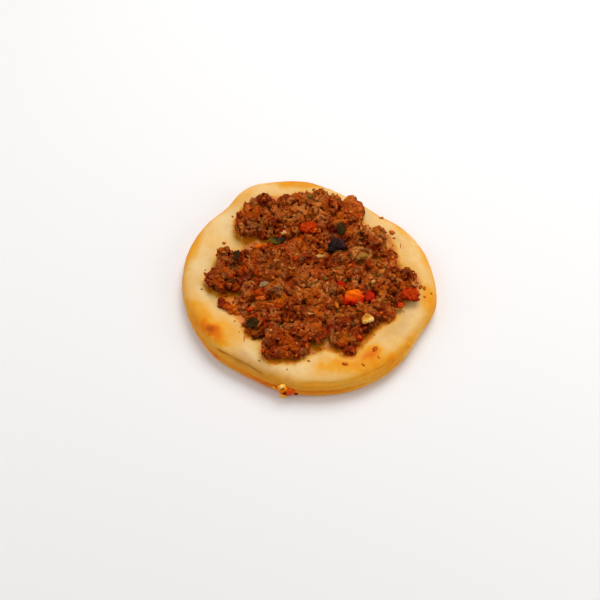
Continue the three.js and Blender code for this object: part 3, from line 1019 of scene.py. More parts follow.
DOUGH = DoughFinish("baked_dough", "dough")
MINCE = MinceFinish("spiced_mince", "minced_meat")
CRUST = PieceFinish(
    "browned_mince_crust", "minced_meat",
    ((0.0, (66, 14, 2)), (0.3, (140, 48, 6)), (0.55, (186, 84, 18)), (0.8, (214, 120, 42)),
     (1.0, (228, 80, 4))),
    mottle=0.85, mottle_width=1.5, roughness=0.65, specular=0.05, coat=0.03, relief=0.4,
)
DARK_CRUMB = PieceFinish(
    "dark_meat_crumb", "minced_meat",
    ((0.0, (84, 16, 1)), (0.4, (156, 48, 3)), (0.7, (196, 88, 8)), (1.0, (216, 116, 20))),
    mottle=0.5, relief=0.25, specular=0.04, coat=0.05, subsurface=0.05,
)
SPECK = PieceFinish(
    "dark_speck", "minced_meat",
    ((0.0, (84, 20, 2)), (0.5, (150, 54, 5)), (1.0, (206, 100, 14))), mottle=0.5, specular=0.04, coat=0.02,
)
AMBER_CRUMB = PieceFinish(
    "amber_crumb", "minced_meat",
    ((0.0, (110, 16, 0)), (0.3, (230, 84, 2)), (0.65, (252, 158, 20)), (0.85, (254, 196, 70)),
     (1.0, (255, 226, 160))),
    mottle=0.3, mottle_width=1.6, coat=0.03, relief=0.2, specular=0.04, subsurface=0.05,
)
TOMATO = PieceFinish(
    "tomato_flesh", "tomato",
    ((0.0, (150, 10, 0)), (0.35, (206, 38, 0)), (0.65, (236, 92, 0)), (1.0, (250, 156, 8))),
    mottle=0.3, mottle_width=2.5, subsurface=0.12, relief=0.2, specular=0.03, coat=0.02,
)
TOMATO_PULP = PieceFinish(
    "tomato_pulp", "tomato",
    ((0.0, (104, 14, 0)), (0.4, (156, 29, 0)), (0.75, (200, 62, 1)), (1.0, (226, 108, 8))),
    mottle=0.6, coat=0.02, subsurface=0.08, relief=0.3, specular=0.03,
)
RED_PEPPER = PieceFinish(
    "red_pepper_flesh", "red_pepper",
    ((0.0, (86, 8, 1)), (0.45, (146, 14, 1)), (0.8, (186, 30, 2)), (1.0, (206, 76, 10))),
    mottle=0.4, subsurface=0.08, specular=0.03, coat=0.02,
)
OLIVE = PieceFinish(
    "black_olive", "olive",
    ((0.0, (18, 5, 3)), (0.45, (34, 14, 12)), (0.72, (66, 26, 32)), (1.0, (104, 48, 58))),
    mottle=0.5, mottle_width=1.0, roughness=0.4, subsurface=0.05, relief=0.35, specular=0.06, coat=0.1,
)
GARLIC = PieceFinish(
    "roast_garlic", "garlic",
    ((0.0, (138, 66, 12)), (0.4, (192, 118, 34)), (0.75, (222, 156, 58)), (1.0, (250, 206, 116))),
    mottle=0.3, subsurface=0.06, specular=0.03, coat=0.02,
)
GREEN_PEPPER = PieceFinish(
    "green_pepper_flesh", "green_pepper",
    ((0.0, (52, 36, 4)), (0.3, (104, 84, 14)), (0.55, (150, 112, 30)), (0.78, (176, 104, 44)),
     (1.0, (200, 126, 66))),
    mottle=0.3, subsurface=0.2, specular=0.08, coat=0.06,
)
DARK_PEPPER = PieceFinish(
    "dark_green_pepper", "green_pepper",
    ((0.0, (22, 12, 2)), (0.5, (48, 34, 5)), (0.85, (112, 92, 18)), (1.0, (150, 124, 36))),
    mottle=0.3, specular=0.06, coat=0.05,
)
ONION = PieceFinish(
    "soft_onion", "onion",
    ((0.0, (92, 34, 6)), (0.35, (128, 68, 26)), (0.7, (136, 92, 54)), (1.0, (188, 152, 110))),
    mottle=1.0, mottle_width=1.2, subsurface=0.06, coat=0.02, relief=0.3, specular=0.03,
)
CARROT = PieceFinish(
    "carrot", "carrot",
    ((0.0, (160, 62, 3)), (0.5, (208, 98, 6)), (1.0, (232, 144, 26))), mottle=0.3, specular=0.08, coat=0.06,
)
HERB = PieceFinish(
    "dark_herb", "herb",
    ((0.0, (34, 15, 3)), (0.5, (58, 38, 11)), (1.0, (98, 74, 30))),
    mottle=0.5, mottle_width=0.8, roughness=0.6, specular=0.04, coat=0.0, subsurface=0.05,
)
GREEN_FLECK = PieceFinish(
    "herb_fleck", "herb",
    ((0.0, (50, 28, 3)), (0.5, (84, 58, 10)), (1.0, (120, 90, 22))),
    mottle=0.4, mottle_width=0.8, specular=0.04, coat=0.0,
)
TAN_BIT = PieceFinish(
    "cooked_onion_bit", "onion",
    ((0.0, (138, 64, 18)), (0.5, (178, 108, 46)), (1.0, (214, 158, 88))),
    mottle=0.5, mottle_width=1.0, specular=0.08, coat=0.06,
)


# ---- The dough ----


@dataclass(frozen=True)
class Swell:
    """A stretch of the rim: its bearing, how far it reaches either side, and how much it adds there."""

    at: float
    reach: float
    rise: float

    def share(self, angle: Array) -> Array:
        """1 at the middle of the stretch, falling smoothly to 0 at its ends."""
        away = np.abs((angle - self.at + 180) % 360 - 180)
        return np.where(away < self.reach, 0.5 + 0.5 * np.cos(np.pi * np.minimum(away / self.reach, 1)), 0)


@dataclass(frozen=True)
class Patch:
    """A soft spot on the dough: middle, half extents, turn, and how much it adds."""

    at: tuple[float, float]
    half: tuple[float, float]
    turn: float
    amount: float

    OUTSIDE, INSIDE = 1.25, 0.3  # where the spot ends and where it is full, in half extents

    def share(self, points: Array, ragged: Array) -> Array:
        """How much of the spot each place has, from 0 to 1, with an edge that `ragged` moves."""
        local = turned(points[:, :2] - self.at, -self.turn) / self.half
        return smooth_step(np.linalg.norm(local, axis=1) + ragged, self.OUTSIDE, self.INSIDE)


def patched(patches: Iterable[Patch], points: Array, ragged: Array) -> Array:
    """How much soft spots add in all at each place, with edges that `ragged` moves."""
    return sum(patch.amount * patch.share(points, ragged) for patch in patches)


@dataclass(frozen=True)
class Crease:
    """A groove along the side: bearings and heights that it passes through, its width and its depth."""

    path: tuple[tuple[float, float], ...]
    width: float
    depth: float
    FADE = 4  # how many degrees it takes to begin and to end

    def share(self, angle: Array, height: Array, wander: Array) -> Array:
        """How much of the groove each place has.

        Args:
            angle: the places' bearings.
            height: their heights.
            wander: how far the groove's line strays there.

        Returns:
            1 on the groove's line and 0 well away from it.
        """
        bearings, heights = zip(*self.path)
        first, last = bearings[0], bearings[-1]
        line = np.interp(angle, bearings, heights) + wander
        ends = smooth_step(angle, first, first + self.FADE) * smooth_step(angle, last, last - self.FADE)
        return bell(height, line, self.width) * ends


@dataclass
class Dough:
    """The round of dough: an outline, a section swept round it, swells, creases and a bake."""

    rim_radii: tuple[float, ...] = (  # at even bearings all round
        54.9, 53.2, 50.8, 47.3, 47.7, 49.7, 53.6, 55.8, 57.7, 54, 55, 55.5,
        55.3, 54.8, 54.3, 54, 52.8, 53.7, 54.4, 55.2, 55.4, 54.8, 54.1, 56.1,
    )
    section: tuple[tuple[float, float], ...] = (  # how far inside the outline, and how high
        (3.2, 0), (1.3, 0.5), (0.35, 1.9), (0, 3.8), (0.3, 5.6), (0.8, 7), (1.6, 8.3),
        (3, 9.4), (5, 10), (8, 10.2), (12, 9.8), (16.5, 9), (21.5, 8.1), (26.5, 7.6),
    )
    shoulder: int = 6  # the point of the section at which the top begins
    shoulder_width: float = 0.6  # how far the fold reaches from there, in steps of the section
    rim_height: float = 10.2
    bed_height: float = 7.5
    draw_in: float = 0.12  # how far the skin lies inside the swept form, so that its relief has room
    side_inset: tuple[float, float] = (3.5, 1.5)  # the insets between which the side begins
    top_height: tuple[float, float] = (6.5, 8)  # the heights between which the top begins
    waves: Relief = Relief(7, 0.2)
    pores: Relief = Relief(2.6, 0.1, layers=2)
    dents: Relief = Relief(14, 0.16)
    crust: Relief = Relief(1.9, 0.8, layers=3)
    ragged: Relief = Relief(5, 0.3, layers=3)
    baked_ragged: Relief = Relief(6, 0.3, layers=4)
    wrinkle_depth: float = 0.14
    plain_bake: float = 0.15
    edge_bake: float = 0.2  # how much more the outermost ring is baked
    edge: tuple[float, float] = (0.5, 2.2)  # its inset and width
    shoulder_shade: float = 0.16  # painted shade: how much more the front shoulder is baked, where the light falls off
    shoulder_ring: tuple[float, float] = (1.8, 2.4)  # its inset and width
    side_bake: float = 0.36
    under_bake: float = 0.4
    # painted shade in the creases: how much browner, and below how much greyer, they are
    groove_bake_shade: float = 0.3
    groove_shade: float = 0.8
    oil_begins: tuple[float, float] = (0.02, 0.4)  # how near the heap the halo of oil begins and is full
    stains_begin: tuple[float, float] = (0.0, 0.2)
    oil_height: float = 4  # no oil lies lower
    UNDERSIDE = 0.3  # what is lower is the underside
    RESTING = 0.05  # what is lower stays flat
    swells: tuple[Swell, ...] = (
        Swell(212, 24, 1.2), Swell(118, 16, 0.7), Swell(140, 12, -0.7),
        Swell(52, 20, -0.5), Swell(5, 20, 0.4), Swell(300, 26, 0.3),
    )
    fold: Swell = Swell(237, 16, 1.0)
    spokes: int = 576
    steps: int = 8  # rings between two points of the section
    bed_rings: int = 9
    base_rings: int = 12
    creases: tuple[Crease, ...] = (
        Crease(((222, 8.2), (232, 8.7), (240, 8.7), (250, 8.2)), 0.3, 0.9),
        Crease(((246, 5.4), (262, 5.6), (280, 5.7), (300, 5.2), (318, 4.4)), 0.35, 0.3),
        Crease(((262, 8.9), (276, 9.2), (292, 9.1), (308, 8.8)), 0.5, 0.25),
    )
    browned: tuple[Patch, ...] = table(
        Patch, 2,
        (-45.5, -21.5, 12.5, 5.4, -58, 0.28), (-43.5, -26.0, 7, 2.8, -50, 0.08),
        (-34.5, -29, 10, 6, -40, 0.2), (-38.4, -30, 8, 3.2, -45, 0.32), (18.5, -43.3, 19, 6.4, 8, 0.4),
        (24, -38.6, 7, 3.6, 30, 0.24), (39.8, -35.5, 6.5, 3.8, 40, 0.12), (-2, 49.8, 17, 4, 1, 0.36),
        (-30, 41, 9, 3, 42, 0.14), (36, 35, 12, 5, -46, 0.26), (42, 23, 3, 7, 28, 0.2),
        (51, 14, 3, 14, 0, 0.2), (50, -13, 5, 8, 0, 0.32), (44, -2, 5, 8, 0, 0.16),
        (-51, 14, 4, 12, -14, 0.24), (-33, 10, 10, 4, 30, 0.12),
    )
    # paler patches; those on the rim behind the heap are painted soft highlights, the rest paler dough
    pale: tuple[Patch, ...] = table(
        Patch, 2,
        (-14, -43, 18, 5, -14, 0.14), (42, -24, 7, 14, -30, 0.05), (-45, 2, 5, 18, 6, 0.1),
        (-38, 28, 10, 7, -50, 0.12), (46, 22, 4, 10, 20, 0.1), (27, 40, 5, 4, 0, 0.12),
    )
    # greyed patches; the one on the front-left shoulder is painted shade
    dull_and_shade: tuple[Patch, ...] = table(
        Patch, 2,
        (-22, -43.9, 17, 4.4, -26, 0.42), (36, -25, 7, 10, -38, 0.26), (-2, 50, 17, 4, 0, 0.14),
    )
    # painted light: the sides at these bearings, where more light falls, are baked less and so paler
    lit_sides: tuple[Swell, ...] = (Swell(326, 40, 0.28), Swell(284, 26, 0.1), Swell(198, 28, 0.2))
    blister: Patch = Patch((39.8, -35.5), (6, 3.6), 40, 0.5)
    stains: tuple[Patch, ...] = table(
        Patch, 2,
        (-24, 15.5, 9, 3.2, 8, 0.75), (44, -7, 5, 7, 0, 0.5), (30, 22, 6, 4, -40, 0.4),
        (-30, -18, 7, 5, -30, 0.4), (20, -34, 10, 4, 25, 0.35), (-18.5, 40, 5, 2.4, 20, 0.5),
        (37.4, 18, 3, 5, 20, 0.6), (6, -38, 6, 3, 0, 0.5), (24, -38.6, 6, 3.4, 20, 0.6),
        (14.2, -42, 5, 2.6, 0, 0.4), (-35, -11, 3, 5, 30, 0.5),
    )
    seed: int = 5

    def rim_radius(self, angle: Array) -> Array:
        """The outline's radius at an angle, smooth through the driving radii."""
        radii = np.array(self.rim_radii)
        share = (angle % 360) / (360 / len(radii))
        first = np.floor(share).astype(int)
        return through((radii[(first + k) % len(radii)] for k in (-1, 0, 1, 2)), share - first)

    def polar(self, points: Array) -> tuple[Array, Array]:
        """The bearing of places, and how far inside the outline they lie."""
        angle = np.degrees(np.arctan2(points[:, 1], points[:, 0])) % 360
        return angle, self.rim_radius(angle) - np.hypot(points[:, 0], points[:, 1])

    def height(self, points: Array) -> Array:
        """The height of the dough's top at places inside its outline.

        Args:
            points: (n, 2 or 3) places.

        Returns:
            One height for each place.
        """
        angle, inset = self.polar(points)
        insets, heights = zip(*self.section[self.shoulder:])
        plain = np.interp(inset, insets, heights)
        return plain + self._rise(angle) * self._rise_share(plain)

    def make(self, footprint: Nearness) -> bpy.types.Object:
        """Builds the dough.

        Args:
            footprint: says how near the heap each place is, from 0 to 1.

        Returns:
            The piece.
        """
        shell, inset, height, angle = self._swept()
        noise = Noise(self.seed)
        points = shell.points
        side = smooth_step(inset, *self.side_inset) * (height > self.UNDERSIDE)
        top = smooth_step(height, *self.top_height)
        groove = side * self._grooves(points, height, angle, noise)
        skin = self._relief(points, side, top, noise) - groove - self.draw_in
        out = shell.pushed(skin * (height > self.RESTING))
        out.points[:, 2] = np.maximum(out.points[:, 2], 0)
        bake = self._bake(points, inset, height, angle, noise)
        # painted shade: the creases are baked darker
        out.marks["bake"] = np.clip(bake + self.groove_bake_shade * groove, 0, 1)
        ragged = self.ragged.at(noise, points)
        # painted shade on the front-left shoulder and in the creases, which are greyed, with other greyed
        # patches
        dull_and_shade = patched(self.dull_and_shade, points, ragged) * top
        out.marks["dull_and_shade"] = np.clip(dull_and_shade + self.groove_shade * groove, 0, 1)
        nearness = footprint(points)
        halo = smooth_step(nearness, *self.oil_begins) * (0.9 + 0.6 * noise.layered(points, 4, 3))
        stain = patched(self.stains, points, ragged) * smooth_step(nearness, *self.stains_begin)
        out.marks["oil"] = np.clip(halo + stain, 0, 1) * (height > self.oil_height)
        return make_piece(out, "dough_round", DOUGH, ["dough"])

    def _relief(self, points: Array, side: Array, top: Array, noise: Noise) -> Array:
        """The skin's relief.

        Args:
            points: the places.
            side: how much of the side each has.
            top: how much of the top each has.
            noise: where the bumps are.

        Returns:
            How far each place moves out.
        """
        relief = self.waves.at(noise, points) + self.pores.at(noise, points)
        relief += top * self.dents.at(noise, points * [1, 1, 0.4])
        blistered = self.blister.share(points, 0.25 * noise.at(points, 2)) * top
        relief += blistered * (np.abs(self.crust.at(noise, points)) - 0.2)
        wrinkles = bell(noise.layered(points * [0.3, 0.3, 1.3], 2.6, 2), 0, 0.1)
        wrinkled = smooth_step(noise.at(points, 9), -0.3, 0.5)
        return relief - self.wrinkle_depth * side * wrinkles * wrinkled

    def _grooves(self, points: Array, height: Array, angle: Array, noise: Noise) -> Array:
        """How deep the creases are at each place."""
        wander = 0.25 * noise.at(points, 5) + 0.12 * noise.at(points, 1.6)
        ragged = np.clip(0.65 + 0.5 * noise.at(points + Noise.STEP, 3), 0.2, 1.2)
        return ragged * sum(crease.depth * crease.share(angle, height, wander) for crease in self.creases)

    def _rise(self, angle: Array) -> Array:
        """How much higher the rim is at an angle."""
        return sum(swell.rise * swell.share(angle) for swell in self.swells)

    def _rise_share(self, height: Array) -> Array:
        """How much of the rim's rise a height takes part in."""
        return np.maximum(0, height - self.bed_height) / (self.rim_height - self.bed_height)

    def _profile(self) -> tuple[Array, Array]:
        """The section as a smooth line: distances in from the outline, and heights."""
        knots = np.array(self.section)
        padded = np.concatenate([2 * knots[:1] - knots[1:2], knots, 2 * knots[-1:] - knots[-2:-1]])
        t = (np.arange(self.steps) / self.steps)[:, None]
        rows = [through(padded[k:k + 4], t) for k in range(len(knots) - 1)]
        line = np.concatenate([*rows, knots[-1:]])
        return line[:, 0], np.maximum(line[:, 1], 0)

    def _swept(self) -> tuple[Shell, Array, Array, Array]:
        """The section swept round the outline, with each place's inset, height and angle."""
        inset, height = self._profile()
        bearing = np.arange(self.spokes) * 360 / self.spokes
        radius = self.rim_radius(bearing)[:, None]
        fold = self.fold.rise * self.fold.share(bearing)[:, None]
        rows = np.arange(len(inset))
        shoulder_share = bell(rows, self.shoulder * self.steps, self.steps * self.shoulder_width)
        swept = radius - inset - fold * shoulder_share
        inner = np.linspace(1, 0, self.bed_rings + 1)[1:-1]
        under = np.linspace(0, 1, self.base_rings + 1)[1:-1]
        reach = np.concatenate([swept[:, :1] * under, swept, swept[:, -1:] * inner], axis=1)
        rise = self._rise(bearing)[:, None] * self._rise_share(height)
        bed = height[-1] + (self.bed_height - height[-1]) * (1 - inner)
        level = np.concatenate([
            np.zeros((self.spokes, len(under))), height + rise, np.tile(bed, (self.spokes, 1)),
        ], axis=1)
        turn = np.radians(bearing)[:, None]
        rings = np.stack([reach * np.cos(turn), reach * np.sin(turn), level], axis=-1)
        count = rings.shape[1]
        centre = len(rings.reshape(-1, 3))
        points = np.concatenate([rings.reshape(-1, 3), [[0, 0, 0], [0, 0, self.bed_height]]])
        spoke, ring = np.meshgrid(np.arange(self.spokes), np.arange(count - 1), indexing="ij")
        after = (spoke + 1) % self.spokes
        quads = np.stack([
            spoke * count + ring, after * count + ring, after * count + ring + 1, spoke * count + ring + 1,
        ], axis=-1).reshape(-1, 4)
        first = np.arange(self.spokes)
        second = (first + 1) % self.spokes
        under_fan = np.stack([second * count, first * count, np.full_like(first, centre)], axis=1)
        bed_fan = np.stack(
            [first * count + count - 1, second * count + count - 1, np.full_like(first, centre + 1)], axis=1
        )
        triangles = np.concatenate([quads[:, [0, 1, 2]], quads[:, [0, 2, 3]], under_fan, bed_fan])
        angle, away = self.polar(points)
        return Shell(points, triangles), away, points[:, 2], angle

    def _bake(self, points: Array, inset: Array, height: Array, angle: Array, noise: Noise) -> Array:
        """How far the dough is baked.

        Args:
            points: the places.
            inset: how far inside the outline they are.
            height: their heights.
            angle: their bearings.
            noise: where the clouds are.

        Returns:
            From 0, pale, to 1, dark brown, for each place.
        """
        ragged = self.baked_ragged.at(noise, points)
        cloud = noise.layered(points, 16, 3)
        far = np.sin(np.radians(angle))
        back, front = smooth_step(far, 0.1, 0.8), smooth_step(-far, 0.3, 0.8)
        edge = bell(inset, *self.edge) * smooth_step(height, 2, 6)
        bake = self.plain_bake + 0.06 * cloud + edge * (self.edge_bake + 0.12 * back - 0.06 * front)
        # painted shade: the front shoulder, where the light falls off, is baked darker
        shoulder = bell(inset, *self.shoulder_ring) * smooth_step(height, 6, 7.5)
        bake += shoulder * front * (self.shoulder_shade + 0.1 * noise.layered(points, 8, 3))
        side = smooth_step(height, 7.6, 5.2) * smooth_step(inset, 6, 2)
        # painted light: the sides where more light falls are paler
        pale = sum(swell.rise * swell.share(angle) for swell in self.lit_sides)
        streaks = noise.layered(points * [1, 1, 2.5], 5, 3)
        bake += side * (self.side_bake - pale + 0.12 * cloud + 0.12 * streaks)
        bake += patched(self.browned, points, ragged) * smooth_step(height, 4.5, 8)
        bake -= patched(self.pale, points, ragged)
        spots = smooth_step(noise.layered(points, 9, 3), 0.15, 0.75)
        under = self.under_bake + 0.45 * spots
        return np.clip(np.where(height < self.UNDERSIDE, under, bake), 0, 1)


# ---- The heap of mince ----


@dataclass(frozen=True)
class Clumps:
    """One layer of lumps over the heap."""

    spacing: float
    radius: tuple[float, float]
    stretch: tuple[float, float]  # least and most length, as a share of the width
    flatness: tuple[float, float]  # least and most height, as a share of the width
    sink: float  # how deep their middles lie, as a share of the radius
    vary: float  # how far their tones stray from those of the lumps below


@dataclass(frozen=True)
class Pad:
    """A clump in a known place."""

    at: tuple[float, float]
    half: tuple[float, float]
    turn: float = 0
    rise: float = 0  # how far it stands up
    tone: float = 0


@dataclass
class MinceHeap:
    """The heap: the solid's form, shrunk a little, with pads, clumps and grains melted into it."""

    cell: float = 0.46
    room: tuple[float, float, float] = (6.0, 6.0, 2.0)  # how far the grid reaches beside and below the solid
    headroom: float = 0.4  # how far it reaches above it
    halo_passes: int = 60  # how often the heap's cover is blurred to find how near the heap a place is
    blend: float = 0.55  # how wide the fillet between two lumps is
    shrink: float = 0.95
    rough_band: float = 1.6  # how far from the surface it is roughened
    piece_gap: float = 0.12  # how far the mince keeps off the pieces in it
    lid: float = 0.05  # how far it keeps below the solid's top
    least_up: float = -0.3  # lumps grow where the outward direction points up more than this
    ragged: Relief = Relief(5, 0.35, layers=3)
    tone_clouds: Relief = Relief(7, 0.34, layers=3)
    tone_lift: float = 0.05
    lit_crest_tone: float = 0.2  # painted highlight: how much paler what stands out is
    narrow_pit_shade: float = 0.75  # painted shade: how dark narrow pits are, and on the next line wide ones
    wide_pit_shade: float = 0.6
    sauce_share: float = 0.55  # how much sauce there is in the clouds of it
    LEVEL_SLOPE = 0.9  # how fast the distance grows beyond a level cut
    pads: tuple[Pad, ...] = table(
        Pad, 2,
        (-10.6, -5.9, 6.4, 4.2, -6, 0.9, 0.5), (-6.8, -12.7, 5.2, 2.7, 10, 0.8, 0.54),
        (22.7, 9.6, 5, 3, 8, 0.7, 0.68), (29.3, 16.2, 3.7, 3.6, 20, 0.7, 0.64),
        (7.7, 37.4, 2.6, 2.0, 0, 0.5, 0.7), (6.5, 29, 3, 2.8, 0, 0.8, 0.6),
        (-35.6, 5.0, 3.4, 3.0, 30, 0.5, 0.56), (-37.0, -5.2, 5.0, 5.0, 0, 0.7, 0.4),
        (-22.4, -28.2, 3.6, 3.6, 0, 0.6, 0.24), (41.2, -3.6, 3.6, 3.8, 10, 0.6, 0.4),
        (16.2, -37.2, 2.6, 2.2, 0, 0.3, 0.3), (32.6, 1.3, 5.6, 3.6, -8, 0.7, 0.58),
        (-21, 8.6, 5.2, 4.2, 20, 0.8, 0.6), (-28, 24.6, 4.6, 5.4, 60, 0.8, 0.5),
        (-12, 27, 4.6, 4.4, 0, 0.6, 0.5), (12.4, 25, 4.2, 3.4, -30, 0.6, 0.5),
        (-6, 14, 5.4, 3, 14, 0.5, 0.56), (4, -1, 4.6, 3.2, -10, 0.5, 0.56),
        (14, 1.6, 4.2, 3, 20, 0.5, 0.6), (-2, -28, 5.4, 4, 10, 0.6, 0.5),
        (12, -25, 4.6, 3.6, -20, 0.6, 0.46), (-12.8, -36.8, 5.8, 4.8, 0, 0.7, 0.42),
        (31.4, -20.4, 3.6, 3.2, 20, 0.5, 0.44), (-18, -20, 5, 4, -20, 0.6, 0.5),
        (0.5, 38.4, 4.8, 3, 0, 0.3, 0.64), (-9.6, 38.8, 3.6, 2.6, 16, 0.9, 0.6),
        (-2.4, 41.0, 3.6, 1.8, 0, 0.0, 0.64), (15.6, -20.2, 3.6, 2.8, 0, -1.0, 0.5),
        (23.8, -8.8, 2.4, 2.2, 0, -0.6, 0.5), (12.6, -12.8, 2.0, 2.6, 0, -0.4, 0.5),
        (-28.4, -14.2, 3.0, 2.8, 0, -2.0, 0.46), (-28.2, -18.0, 2.6, 3.2, 0, -2.2, 0.42),
        (35.4, 9.4, 2.6, 3.0, 0, -1.4, 0.5),
    )
    pad_depth: float = 1.9
    trim_depth: float = 40  # the trims are tall, so their walls stand upright
    layers: tuple[Clumps, ...] = (
        Clumps(4.4, (1.5, 2.5), (0.9, 1.5), (0.4, 0.6), 0.5, 0.13),
        Clumps(2.4, (0.6, 1.2), (0.9, 1.8), (0.45, 0.8), 0.55, 0.06),
        Clumps(1.7, (0.4, 0.75), (0.8, 2.0), (0.5, 0.9), 0.45, 0.06),
    )
    trims: tuple[Pad, ...] = table(
        Pad, 2,
        (14.6, 44.0, 4.6, 4.8, -10), (15.3, 39.6, 1.3, 3.4, 12),
        (3.5, 47.2, 6.0, 3.0), (45.8, 5.0, 5.0, 4.4, -40), (46.6, 1.4, 3.6, 3.4),
        (-35.6, 25.4, 3.4, 8.0), (-32.8, 14.4, 6.5, 3.2, 10),
        (-38.8, 12.8, 5.2, 3.0, 24), (-47.4, -6, 3.0, 6),
        (-44.4, -13.0, 4.0, 3.2, 30), (-28.9, -23.6, 2.2, 2.2),
        (-28.2, -33.4, 4.4, 4.0), (-23.0, -40.0, 3.6, 3.6, -40),
        (3.6, -42.0, 5.5, 2.8, 10), (37.4, -24.4, 3.0, 2.4, 30),
        (25.4, -36.6, 5.0, 3.4, 30), (27.6, 27.2, 3.2, 3.6),
        (35.6, 22.4, 2.4, 2.8),
    )
    roughness: tuple[Relief, ...] = (
        Relief(4.4, 0.7, Form.CRACKED), Relief(3.2, 0.7, Form.RIDGED), Relief(1.7, 0.75, Form.RIDGED),
        Relief(1.1, 0.4, Form.RIDGED),
    )
    dough_bite: float = 0.45  # how far the edge grains sink into the dough
    hidden_cell: float = 2.2  # how coarse the underside is
    overhang: float = -0.15  # an outward direction that points down more than this is an overhang
    overhang_cell: float = 1.1  # how coarse the overhangs are
    sauce: tuple[Patch, ...] = table(
        Patch, 2,
        (-26, 1, 6, 5, 0, 0.8), (-21, -12, 5, 4, 0, 0.55), (-1, 22, 6, 6, 0, 0.9), (12, 33, 7, 5, 0, 0.5),
        (-24, 31, 6, 6, 0, 0.2), (42, -13, 5, 4, 0, 0.9), (18, -13, 7, 5, 0, 0.35),
        (4, -27, 14, 6, 0, 0.3), (-14, 13, 8, 4, 0, 0.4), (-10, -36, 10, 5, 0, 0.4),
        (34, 11, 4, 5, 0, 0.5), (34, -23, 3, 3, 0, 0.6),
    )
    darker: tuple[Patch, ...] = table(
        Patch, 2,
        (-38, -7, 7, 6, 0, 0.2), (-8, -37, 14, 7, 0, 0.2), (24, -27, 8, 4, 40, 0.18),
        (-21, -26, 6, 6, 0, 0.2), (11, 17, 7, 5, 0, 0.16), (-14, 20, 9, 3, 0, 0.14),
        (36, -12, 6, 5, 0, 0.14), (-31, 2, 3, 5, 0, 0.1), (42, -2, 5, 6, 0, 0.18), (14, -28, 8, 6, 0, 0.1),
        (-2, -6, 8, 6, 0, 0.06),
    )
    paler: tuple[Patch, ...] = table(
        Patch, 2,
        (16, 5, 14, 8, 0, 0.08), (-24, 2, 7, 6, 0, 0.1), (26, 8, 9, 6, 0, 0.13), (10, 28, 12, 6, 0, 0.1),
        (33, 2, 7, 4, 0, 0.16), (-20, 9, 10, 5, 0, 0.15), (0, 38, 12, 4, 0, 0.26), (0, 31, 12, 6, 0, 0.34),
        (26, -3, 10, 5, 0, 0.14),
    )
    seed: int = 11

    def build(self, dough: Dough, cutters: Lumps) -> None:
        """Models the heap in clay and keeps its surface.

        Args:
            dough: what it lies on.
            cutters: the pieces that lie in it.
        """
        rng = np.random.default_rng(self.seed)
        low, high = box_of("minced_meat")
        self.clay = Clay(low - self.room, high + [*self.room[:2], self.headroom], self.cell, self.blend)
        self._take_form()
        bed = dough.height(self.clay.places()).reshape(self.clay.distance.shape)
        height = self.clay.places()[:, 2].reshape(bed.shape)
        self.tones = np.array([0.5])
        first, *rest = self.layers
        self._add_clumps(first, rng)
        self._add_pads()
        for layer in rest:
            self._add_clumps(layer, rng)
        self.clay.rough(Noise(self.seed), self.roughness, self.rough_band)
        tops = np.full(len(self.trims), high[2] + self.trim_depth)
        self.clay.cut(self._known(self.trims, tops, self.trim_depth), 0)
        self.clay.cut(cutters, self.piece_gap)
        for beyond in (bed - self.dough_bite - height, height - (high[2] - self.lid)):
            self.clay.distance = np.maximum(self.clay.distance, beyond * self.LEVEL_SLOPE)
        self.clay.drop_loose()
        skin = self.clay.shell()
        sunk = dough.height(skin.points) - skin.points[:, 2] > self.dough_bite - self.cell / 3
        overhung = skin.normals()[:, 2] < self.overhang
        self.skin = skin.merged(np.where(sunk, self.hidden_cell, np.where(overhung, self.overhang_cell, 0)))
        self.lift = self.skin.points[:, 2] - dough.height(self.skin.points)
        self._mark()

    def make(self) -> bpy.types.Object:
        """Makes the heap's piece."""
        return make_piece(self.skin, "mince_heap", MINCE, ["minced_meat"])

    def footprint(self, points: Array) -> Array:
        """How near the heap each place is: 1 under it, falling to 0 a few millimetres outside it."""
        if not hasattr(self, "_cover"):
            cover = (self.clay.distance < 0).any(axis=2).astype(float)
            self._cover = self.clay.blurred(cover, self.halo_passes)
            for edge in (self._cover[0], self._cover[-1], self._cover[:, 0], self._cover[:, -1]):
                edge[:] = 0
        return self.clay.sampled(self._cover, points)

    def top(self, flat: Array) -> Array:
        """The height of the heap's top at places; beside the heap it is the middling one."""
        tops = self.clay.tops()
        filled = np.where(np.isnan(tops), np.nanmedian(tops), tops)
        return self.clay.sampled(filled, flat)

    def _known(self, pads: Sequence[Pad], heights: Array, depth: float) -> Lumps:
        """Clumps in known places.

        Args:
            pads: the clumps.
            heights: the height of each one's top.
            depth: half their height.

        Returns:
            The lumps.
        """
        middles = np.column_stack([np.array([pad.at for pad in pads]), heights - depth])
        halves = np.array([(*pad.half, depth) for pad in pads])
        return Lumps(middles, halves, turns(pad.turn for pad in pads))

    def _add_pads(self) -> None:
        """Melts the known clumps into the clay."""
        tops = self.top(np.array([pad.at for pad in self.pads])) + [pad.rise for pad in self.pads]
        self.clay.add(self._known(self.pads, tops, self.pad_depth), len(self.tones))
        self.tones = np.concatenate([self.tones, [pad.tone for pad in self.pads]])

    def _add_clumps(self, layer: Clumps, rng: np.random.Generator) -> None:
        """Melts one layer of lumps into the clay; each takes after the lump that it lies on.

        Args:
            layer: the layer.
            rng: the seeded draw.
        """
        skin = self.clay.shell()
        normals = skin.normals()
        chosen = np.nonzero(normals[:, 2] > self.least_up)[0]
        chosen = chosen[thinned(skin.points[chosen], layer.spacing, rng)]
        size = rng.uniform(*layer.radius, len(chosen))
        below = self.tones[self.clay.owners(skin.points[chosen])]
        self.clay.add(Lumps.on_surface(
            skin.points[chosen], normals[chosen], size, layer.stretch, layer.flatness, layer.sink, rng,
        ), len(self.tones))
        self.tones = np.concatenate([self.tones, below + rng.normal(0, layer.vary, len(chosen))])

